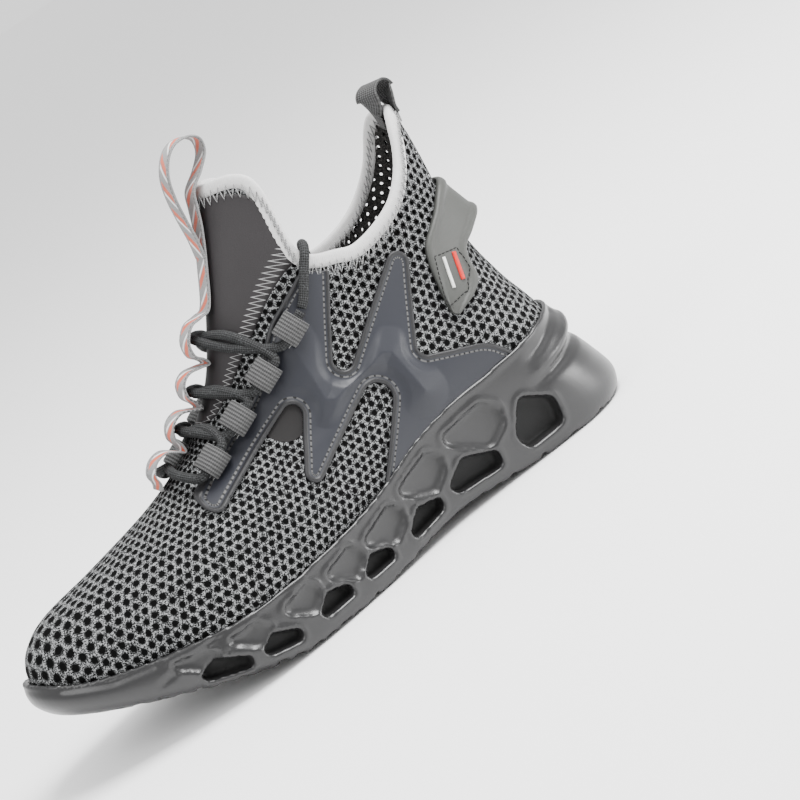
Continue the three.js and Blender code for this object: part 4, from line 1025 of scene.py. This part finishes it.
hole_outlines = [opening_outline(hole_shape, row) for row in holes]
pocket_outlines = [opening_outline(pocket_shape, row) for row in pockets]
sole = sole_block("cup_sole")
for outlines, depth in ((hole_outlines, hole_depth), (pocket_outlines, pocket_depth)):
    cutter = all_prisms("sole_openings", outlines)
    cut(cutter, sole_block("sole_core", -depth, rows=12, columns=120))
    cut(sole, cutter)
cut(sole, foot_block("foot_space"))

recess_rows = [(0.47, 0.17), (0.56, 0.3), (0.66, 0.31), (0.75, 0.2), (0.75, -0.2), (0.66, -0.3),
               (0.56, -0.29), (0.47, -0.2)]
heel_recess_rows = [(0.03, 0.13), (0.1, 0.22), (0.2, 0.2), (0.24, 0.1), (0.24, -0.1), (0.2, -0.2),
                    (0.1, -0.22), (0.03, -0.13)]
islands = [(0.535, 0.12, 0.09, 0.3), (0.55, -0.12, 0.1, 0.1), (0.655, 0.02, 0.12, 0.5),
           (heel_back / upper_length, 0, 0.13, 0.26)]


def island_outline(at, side, size, turn):
    angle = turn + np.arange(6) * math.pi / 3
    return np.stack([from_heel(at) + size * sole_ball * np.cos(angle),
                     side * sole_ball + size * sole_ball * np.sin(angle) * 1.15], 1)


modify(sole, "REMESH", mode="VOXEL", voxel_size=1.12 * mm)
modify(sole, "SMOOTH", factor=0.5, iterations=4)

points, normals = vertex_array(sole), normal_array(sole)
flat = points[:, [0, 2]]


def sole_side(x, z, shares):
    """Half width of the sole beside a point of the side view, on the side with these shares of the width"""
    rise = np.clip((z - tread_height(x)) / (lip_height(x) - tread_height(x)), 0, 1)
    ring = {key: between_rows(values, np.interp(rise, sole_rings["rise"], np.arange(len(sole_rows))))
            for key, values in sole_rings.items()}
    share = np.clip((share_at(x) - ring["back"]) / (ring["front"] - ring["back"]), 0, 1)
    return half_width({**ring, **sole_caps}, sole_widths, shares, share)


sideways = points[:, 1] - swing(points[:, 0])
wall_at = np.where(sideways < 0, sole_side(flat[:, 0], flat[:, 1], [1, 1, 1, 1]),
                   sole_side(flat[:, 0], flat[:, 1], sole_inner))
depth = wall_at - np.abs(sideways)
rim_gap = np.full(len(points), 1e9)
in_opening = np.zeros(len(points), bool)
# Painted shade inside the openings: deeper places are painted darker, and each pocket darker towards its heel
# end
painted_opening_shade = np.zeros(len(points))
for outlines, pocket in ((hole_outlines, False), (pocket_outlines, True)):
    for outline in outlines:
        middle, reach = outline[:, 0].mean(), np.ptp(outline[:, 0])
        near = np.abs(flat[:, 0] - middle) < 30 * mm
        gap, _ = distance_to(outline, flat[near])
        rim_gap[near] = np.minimum(rim_gap[near], gap)
        within = inside_of(outline, flat[near]) | (gap < 0.7 * mm)
        in_opening[near] |= within
        slope = np.clip((flat[near, 0] - middle) / reach + 0.5, 0, 1)
        darker = np.clip(depth[near], 0, 9 * mm) * ((0.25 + 2.2 * slope ** 2) if pocket else 1.6)
        painted_opening_shade[near] = np.where(within, np.maximum(painted_opening_shade[near], darker), painted_opening_shade[near])
on_wall = (depth < 1.6 * mm) & ~in_opening & (np.abs(normals[:, 2]) < 0.93)
rim_lift = np.exp(-((rim_gap - 1.3 * mm) / (1.1 * mm)) ** 2) * 0.9 * mm

# Creases of the wall: a rolled lip along the knit, two swept flutes round the heel, long grooves at the toe
lip_gap = lip_height(flat[:, 0]) - flat[:, 1]
lip_roll = np.exp(-((lip_gap - 1.2 * mm) / (1.1 * mm)) ** 2) * 0.7 * mm
flute_lines = [
    (1.5, 2.4, ((37.5, 41), (33, 38.5), (22, 35), (9, 32.5), (-6, 32))),
    (-2.0, 3.0, ((38, 33.5), (31, 32.5), (18, 31), (4, 30.5), (-6, 31))),
    (-1.3, 2.6, ((31.5, 47.5), (26, 46), (12, 42), (-2, 39.5))),
    (-1.1, 1.3, ((-186, 30), (-200, 28.5), (-214, 25.5))),
    (-1.2, 1.4, ((-212, 35), (-229, 38), (-246, 45))),
]
flutes = np.zeros(len(points))
for height, width, line in flute_lines:
    line = np.array(line) * mm
    gap, run = distance_to(np.vstack([line, line[::-1]]), flat)
    ease = smooth((flat[:, 0] - line[:, 0].min()) / (12 * mm)) if line[0, 0] > 0 else 1
    flutes += height * mm * np.exp(-(gap / (width * mm)) ** 2) * ease
lift = np.where(on_wall, rim_lift + lip_roll + flutes, 0)

# Tread: grooves, the sunk middle with its islands and rows of small triangular lugs
under = (normals[:, 2] < -0.6) & (points[:, 2] < tread_height(points[:, 0]) + 1.5 * mm)
ground = points[:, :2]
sunk = np.zeros(len(points), bool)
for rows in (recess_rows, heel_recess_rows):
    outline = np.array([(from_heel(at), side * sole_ball) for at, side in rows])
    sunk |= inside_of(outline, ground)
raised = np.zeros(len(points), bool)
for row in islands:
    raised |= inside_of(island_outline(*row), ground)
groove_at = np.arange(from_heel(0.05), from_heel(0.86), -groove_pitch)
groove_at = groove_at[np.abs(groove_at - from_heel(0.33)) > 0.1 * upper_length]
groove_gap = np.min(np.abs(points[:, :1] - groove_at[None]), axis=1)
tread_cut = np.where(sunk & ~raised, recess_depth, 0)
tread_cut = np.where((groove_gap < groove_width / 2) & ~raised, np.maximum(tread_cut, tread_depth), tread_cut)
lug_pitch, lug_height = 8 * mm, 1.1 * mm
lug = np.abs((points[:, 0] / lug_pitch) % 1 - 0.5) + np.abs((points[:, 1] / lug_pitch) % 1 - 0.5)
tread_cut = np.where(under & ~sunk & ~raised & (lug > 0.62), np.maximum(tread_cut, lug_height), tread_cut)
points = points + normals * lift[:, None]
points[:, 2] += np.where(under, tread_cut, 0)
set_vertices(sole, points)
modify(sole, "SMOOTH", factor=0.5, iterations=2)
corner_uv(sole, np.stack([painted_opening_shade, rim_gap], 1))
select_only(sole)
bpy.ops.object.shade_smooth()

rubber, place, uv = finish("sole_rubber")
grain = place.noise(1500, 3)
cloud = place.noise(16, 3)
scuff = place.noise(130, 5).step(0.62, 0.78) * (1 - place.part("z").step(0.004, 0.03))
# Painted shade: the rubber goes nearly black inside the openings, by the painted shade carried in the UV map
depth = uv.part("x").step(0.3 * mm, 6 * mm)
tone = (cloud * 0.6 + scuff * 0.5).blend(grey(0.004, (1, 0.98, 1.08)), grey(0.012, (1, 0.99, 1.06)))
surface(rubber, depth.blend(tone, grey(0.001)), 0.27 + grain * 0.1 + scuff * 0.2 + depth * 0.5,
        grain * 0.3 + cloud * 0.7, 0.08 * mm, coat=0.1, gloss=0.5)
dress(sole, rubber, "sole_rubber", "sole")

# Insole: a foam sheet covered in dark cloth, 4 mm thick with a rounded upper edge. It lies loose in the cup
# of the sole, inside the knit.
insole_turns = np.linspace(0, 2 * math.pi, 120, endpoint=False)
insole_floor = form_point(insole_turns, 0 * insole_turns)[:, 2]
insole_rings = []
for rise, shrink in ((0, 0.6), (0.5, 0), (3.2, 0), (3.8, 0.5), (4, 1.5)):
    ring = on_form(insole_turns, 0 * insole_turns, np.full(120, -(wall + clearance + shrink * mm)))
    ring[:, 2] = insole_floor + rise * mm
    insole_rings.append(ring)
insole = mirrored_loft("insole_sheet", np.array(insole_rings))
bpy.ops.object.shade_smooth()
insole_cloth, place, uv = finish("insole_cloth")
weave = place.part("x").wave(1.3 * mm) * place.part("y").wave(1.3 * mm)
surface(insole_cloth, weave.step(-0.6, 0.8).blend(grey(0.02), grey(0.05)), 0.95, weave.step(-1.0, 1.0),
        0.2 * mm, sheen=0.2)
dress(insole, insole_cloth, "insole_foam", "insole")

# Lace loops: short straps of ribbed webbing, four on each side. Each is folded over the lace and sewn into a
# slit of the overlay.
webbing_width, webbing_thickness = 11.5 * mm, 1.2 * mm
lace_radius = lace_diameter / 2
loop_rows = [(0.388, 1.037), (0.457, 0.936), (0.524, 0.844), (0.594, 0.752)]
loop_places = [(float(turn_at(from_heel(at), rise * instep_height)), rise * instep_height)
               for at, rise in loop_rows]
loop_inner = lace_radius + 1.1 * mm
loop_lift = 2 * clearance + overlay_thickness + webbing_thickness + loop_inner + 0.7 * mm


def loop_point(i, side):
    turn, height = loop_places[i]
    return at_height(side * turn, height, loop_lift)


def loop_frame(i, side):
    above = loop_point(max(i - 1, 0), side)
    below = loop_point(min(i + 1, len(loop_rows) - 1), side)
    down = unit(below - above)
    turn, height = loop_places[i]
    out = form_normal(side * turn, level_at(side * turn, height))
    out = unit(out - down * float(out @ down))
    return loop_point(i, side), down, out


webbing, place, uv = finish("grey_webbing")
cord_rib = uv.part("y").wave(1.6 * mm).step(-0.9, 0.9)
pick = uv.part("x").wave(0.9 * mm).step(-0.8, 0.9)
webbing_tone = (cord_rib * 0.5 + pick * 0.25 + place.noise(900, 2) * 0.4).blend(grey(0.01), grey(0.085))
surface(webbing, webbing_tone, 0.8, cord_rib * 0.7 + pick * 0.3, 0.45 * mm)

half, thick = webbing_width / 2, webbing_thickness / 2
webbing_section = np.array([
    (-half, -thick * 0.5), (-half, thick * 0.5), (-half + thick, thick), (-half / 3, thick),
    (half / 3, thick), (half - thick, thick), (half, thick * 0.5), (half, -thick * 0.5),
    (half - thick, -thick), (half / 3, -thick), (-half / 3, -thick), (-half + thick, -thick),
])
strap_angle = np.linspace(0, 2 * math.pi, 48, endpoint=False)
low = np.sin(strap_angle) < 0
reach = loop_inner * 1.55 + thick
arch = loop_inner + thick
flatter, rounder = np.where(low, 0.45, 0.85), np.where(low, 0.35, 0.9)
swell_across = reach * np.sign(np.cos(strap_angle)) * np.abs(np.cos(strap_angle)) ** flatter
swell_out = arch * np.sign(np.sin(strap_angle)) * np.abs(np.sin(strap_angle)) ** rounder
for side_name, side in (("outer", 1), ("inner", -1)):
    for i in range(len(loop_rows)):
        centre, down, out = loop_frame(i, side)
        across = np.cross(out, down)
        path = centre + swell_across[:, None] * across + swell_out[:, None] * out
        strap = sweep(f"webbing_loop_{side_name}_{i + 1}", path, webbing_section,
                      np.broadcast_to(down, path.shape), endless=True)
        dress(strap, webbing, "webbing", f"lace_loop_{side_name}_{i + 1}")

# Lace: a dark braided round cord. It crosses over the tongue from loop to loop, with a straight bar at the
# bottom, and both halves are one piece.
crossing_rises = [1.156, 0.98, 0.876, 0.801]
over_tongue = lace_radius + 1.9 * mm


def lace_route(start):
    points, side = [], start
    for i in range(len(loop_rows)):
        centre, down, _ = loop_frame(i, side)
        stub = webbing_width / 2 + 0.7 * lace_diameter
        points += [centre - down * stub, centre, centre + down * stub]
        last = i == len(loop_rows) - 1
        over = (start > 0) == (i % 2 == 0) and not last
        lift = over_tongue + (0.75 * lace_diameter if over else 0)
        turn, height = loop_places[i]
        middle = crossing_rises[i] * instep_height
        points.append(at_height(side * lerp(turn, math.pi, 0.5), lerp(height, middle, 0.42),
                                over_tongue + 1.2 * mm))
        points.append(at_height(side * math.pi * 0.999, middle, lift))
        if not last:
            turn, height = loop_places[i + 1]
            points.append(at_height(-side * lerp(turn, math.pi, 0.45), lerp(height, middle, 0.9),
                                    over_tongue + 1.2 * mm))
        side = -side
    return np.array(points)


halves = []
for start, side_name in ((1, "outer"), (-1, "inner")):
    path = smooth_path(lace_route(start), lace_step)
    halves.append(sweep(f"lace_half_{side_name}", path, round_section(lace_radius, 16)))
dress(join("braided_lace", halves), lace_braid, "lace_cord", "lace")

# Ribbon: grey tape woven with plain slanting bars, down the middle of the tongue. It is caught between the
# crossings of the lace, so that it stands in folds, and ends in a pull loop on top.
ribbon_width, ribbon_thickness, ribbon_loop_height = 15 * mm, 1 * mm, 22 * mm
ribbon_rest = clearance + ribbon_thickness / 2 + 0.2 * mm
ribbon_folds = [(0.767, 0.838, 2.25), (0.838, 0.942, 2.5), (0.942, 1.076, 2.6), (1.076, 1.25, 2.35)]
fold_shape = [(0, 0.08), (0.08, 0.32), (0.14, 0.74), (0.4, 1), (0.72, 0.86), (0.9, 0.4)]
ribbon_flat = [(0.75, 0.14), (0.83, 0.16), (0.905, 0.24), (0.95, 0.46), (0.99, 0.6)]
pull_loop = [(0.16, 0.24), (0.44, 0.5), (0.5, 0.77), (0.32, 0.93), (0.02, 0.955), (-0.25, 0.8),
             (-0.48, 0.48), (-0.6, 0.07), (-0.66, -0.39), (-0.7, -0.84), (-0.77, -1.22)]


def on_ridge(height, out):
    return at_height(0.9999 * math.pi, height, out + ribbon_rest)


ribbon_points = [on_ridge(lerp(start, end, rise) * instep_height, out * crest * lace_diameter)
                 for start, end, crest in ribbon_folds for rise, out in fold_shape]
ribbon_points += [on_ridge(rise * tongue_height, out * lace_diameter) for rise, out in ribbon_flat]
ribbon_points += [np.array([tongue_top[0] + back * ribbon_loop_height, 0,
                            tongue_top[2] + rise * ribbon_loop_height]) for back, rise in pull_loop]


def tape_section(width, thickness):
    """Flat section with a rounded, slightly thicker selvedge"""
    half, thick = width / 2, thickness / 2
    xs = np.linspace(-1, 1, 13)
    swell = np.where(np.abs(xs) > 0.99, 0.45, np.where(np.abs(xs) > 0.8, 1.15, 1.0))
    top = np.stack([xs * half, thick * swell], 1)
    return np.vstack([top, top[::-1] * np.array([1, -1])])


ribbon_path = smooth_path(np.array(ribbon_points), 0.9 * mm)
ribbon = sweep("keeper_ribbon", ribbon_path, tape_section(ribbon_width, ribbon_thickness),
               np.broadcast_to(np.array([0.0, 1.0, 0.0]), ribbon_path.shape))
tape, place, uv = finish("woven_ribbon")
run, over = uv.part("x"), place.part("y")
twill = ((run + over) * (2 * math.pi / (0.9 * mm))).math("SINE").step(-0.7, 0.7)
slant = ((run + over * 0.8) / (12 * mm)).math("FRACT")
middle = 1 - over.math("ABSOLUTE").step(4.4 * mm, 4.7 * mm)
warm = (1 - (slant - 0.25).math("ABSOLUTE").step(0.15, 0.165)) * middle
white = (1 - (slant - 0.55).math("ABSOLUTE").step(0.07, 0.085)) * middle
selvedge = 1 - (over.math("ABSOLUTE") - 6.2 * mm).math("ABSOLUTE").step(0.3 * mm, 0.5 * mm)
selvedge = selvedge * (run / (2 * mm)).math("FRACT").step(0.35, 0.45)
ground_tone = (twill * 0.6 + place.noise(700, 2) * 0.4).blend(grey(0.13), grey(0.26))
bars = white.blend(warm.blend(ground_tone, (0.55, 0.06, 0.006, 1)), grey(0.72))
tape_color = selvedge.blend(bars, grey(0.05))
surface(tape, tape_color, 0.75, twill, 0.15 * mm, sheen=0.2)
dress(ribbon, tape, "ribbon_tape", "ribbon")

# Heel pull loop: the same webbing, sewn to both faces of the collar at the back, a little to the outer side.
# It stands up above the collar and turns a little.
heel_loop_width, heel_loop_height, heel_loop_turn = 16 * mm, 11.5 * mm, 0.16
heel_loop_rows = [(-0.5, -0.75), (-0.5, -0.2), (-0.56, 0.3), (-0.5, 0.72), (-0.2, 0.96), (0.2, 0.94),
                  (0.4, 0.62), (0.38, 0.2), (0.28, -0.15), (0.28, -0.42)]
loop_level = level_at(heel_loop_turn, heel_collar_height)
loop_edge = on_form(heel_loop_turn, loop_level, -wall / 2)
loop_normal = unit(form_normal(heel_loop_turn, loop_level) * np.array([1, 1, 0]))
loop_path = np.array([(loop_edge[0] + loop_normal[0] * out * heel_loop_height,
                       loop_edge[1] + loop_normal[1] * out * heel_loop_height,
                       heel_collar_height + rise * heel_loop_height) for out, rise in heel_loop_rows])
loop_path = smooth_path(loop_path, 0.9 * mm)
loop_turn = 0.55 * smooth((loop_path[:, 2] - heel_collar_height) / (0.5 * heel_loop_height))
loop_axis = loop_edge[:2] - loop_normal[:2] * 0.08 * heel_loop_height
loop_offset = loop_path[:, :2] - loop_axis
loop_path[:, 0] = loop_axis[0] + loop_offset[:, 0] * np.cos(loop_turn) - loop_offset[:, 1] * np.sin(loop_turn)
loop_path[:, 1] = loop_axis[1] + loop_offset[:, 0] * np.sin(loop_turn) + loop_offset[:, 1] * np.cos(loop_turn)
across_angle = math.atan2(loop_normal[0], -loop_normal[1]) + loop_turn
loop_across = np.stack([np.cos(across_angle), np.sin(across_angle), 0 * across_angle], 1)
heel_loop = sweep("heel_webbing_loop", loop_path, tape_section(heel_loop_width, webbing_thickness),
                  loop_across)
dress(heel_loop, webbing, "webbing", "heel_pull_loop")

# Heel strap: a moulded band of grey-green plastic round the back of the heel, which it clears like a handle,
# with a thicker edge and a pad on each side. Each pad has a sewn border and two plain raised bars.
strap_thickness, strap_standoff = 2.5 * mm, 10 * mm
strap_rows = np.array([
    (0, 0.757, 0.1, 0, 0.632, 1), (0.002, 0.757, 0.1, 0.002, 0.63, 0.97),
    (0.007, 0.755, 0.08, 0.006, 0.622, 0.85), (0.016, 0.748, 0.05, 0.014, 0.608, 0.62),
    (0.03, 0.73, 0.02, 0.024, 0.592, 0.38), (0.048, 0.703, 0, 0.034, 0.58, 0.18),
    (0.07, 0.678, 0, 0.042, 0.563, 0.06), (0.092, 0.65, 0, 0.05, 0.53, 0), (0.104, 0.605, 0, 0.059, 0.493, 0),
    (0.114, 0.555, 0, 0.085, 0.468, 0), (0.127, 0.5, 0, 0.112, 0.456, 0), (0.134, 0.465, 0, 0.128, 0.449, 0),
])


def strap_point(values, across, out, side):
    """Point of the strap: values are its row, across goes from its lower to its upper edge"""
    high_at, high, high_lift, low_at, low, low_lift = values.T
    height = lerp(low, high, across) * heel_collar_height
    back_x = at_height(0 * height, height)[:, 0]
    turn = turn_at(back_x - lerp(low_at, high_at, across) * upper_length, height)
    lift = clearance + 0.2 * mm + lerp(low_lift, high_lift, across) * strap_standoff
    return at_height(side * turn, height, lift + out)


fine_strap = np.stack([between_rows(strap_rows[:, k], np.linspace(0, 11, 67)) for k in range(6)], 1)
fine_strap[:, [0, 2, 3, 5]] = np.maximum(fine_strap[:, [0, 2, 3, 5]], 0)
strap_edge = [0.75, 1.0, 1.05, 1.05]
strap_swell = [*strap_edge, 0.85, *[0.72] * 15, 0.85, *strap_edge[::-1]]
strap_section = [(u, 0.0) for u in np.linspace(0, 1, 13)] + list(zip(np.linspace(1, 0, 25), strap_swell))
strap_half = {}
for side in (1, -1):
    strap_half[side] = np.stack([strap_point(fine_strap, u, t * strap_thickness, side)
                                 for u, t in strap_section], 1)
strap_grid = np.concatenate([strap_half[1][::-1], strap_half[-1][1:]])
strap_across = np.array([u for u, _ in strap_section] + [0]) * 20 * mm
strap_uv = np.stack(np.meshgrid(run_along(strap_grid[:, 0]), strap_across, indexing="ij"), -1)
heel_strap = skin("heel_strap_band", strap_grid, strap_uv, caps=True)

moulded, place, uv = finish("moulded_strap")
grain = place.noise(1100, 3)
surface(moulded, place.noise(35, 2).blend(grey(0.034, (1.0, 1.03, 0.95)), grey(0.055, (1.0, 1.03, 0.95))),
        0.5 + grain * 0.1, grain * 0.5 + place.part("z").wave(1.4 * mm) * 0.1, 0.12 * mm, coat=0.05)
dress(heel_strap, moulded, "strap_plastic", "heel_strap")

# Sewn border of each pad, in dark thread
pad_thread, place, uv = finish("pad_thread")
twist = uv.part("x").wave(0.6 * mm)
surface(pad_thread, twist.step(-1.0, 1.0).blend(grey(0.002), grey(0.012)), 0.8, twist, 0.1 * mm)
pad_corners = [(-5.6, 101.0), (6.4, 97.4), (5.2, 87.0), (-1.8, 80.4), (-14.8, 79.4)]
border_rows = [(start, end, max(2, round(math.dist(start, end) / 2.1)), 0.14, 0.8)
               for start, end in zip(pad_corners, pad_corners[1:] + pad_corners[:1])]
for side_name, side in (("outer", 1), ("inner", -1)):
    stitches = sewn_dashes(f"pad_stitches_{side_name}", heel_strap, side, border_rows, 4 * mm,
                           0.06 * mm, 0.24 * mm)
    dress(stitches, pad_thread, "strap_plastic")

# The two bars of each pad, in plain white and red
bar_ends = [("white", (-1.8, 98.2), (-6.2, 84.8), 0.75 * mm, (0.75, 0.75, 0.72, 1)),
            ("red", (3.9, 97.0), (-0.2, 85.1), 1.1 * mm, (0.5, 0.008, 0.002, 1))]
bar_shape = np.array([(-1, -1), (-1, 0.4), (-0.75, 1), (0.75, 1), (1, 0.4), (1, -1)])
bar_height = 0.45 * mm
for color_name, top, foot, half, color in bar_ends:
    bar_paint, place, uv = finish(f"bar_{color_name}")
    wear = place.noise(500, 4)
    worn = (*(0.8 * c for c in color[:3]), 1)
    surface(bar_paint, wear.step(0.25, 0.75).blend(worn, color), 0.45, wear, 0.05 * mm, coat=0.1)
    for side_name, side in (("outer", 1), ("inner", -1)):
        ends = np.array([top, foot]) * mm
        line = ends[0] + np.linspace(0, 1, 24)[:, None] * (ends[1] - ends[0])
        turns = turn_at(line[:, 0], line[:, 1])
        path = at_height(side * turns, line[:, 1], clearance + 0.2 * mm + 0.72 * strap_thickness + 0.25 * mm)
        normals = form_normal(side * turns, level_at(side * turns, line[:, 1]))
        bar = sweep(f"pad_bar_{color_name}_{side_name}", path, bar_shape * (half, bar_height),
                    np.cross(unit(np.gradient(path, axis=0)), normals))
        dress(bar, bar_paint, "strap_plastic")
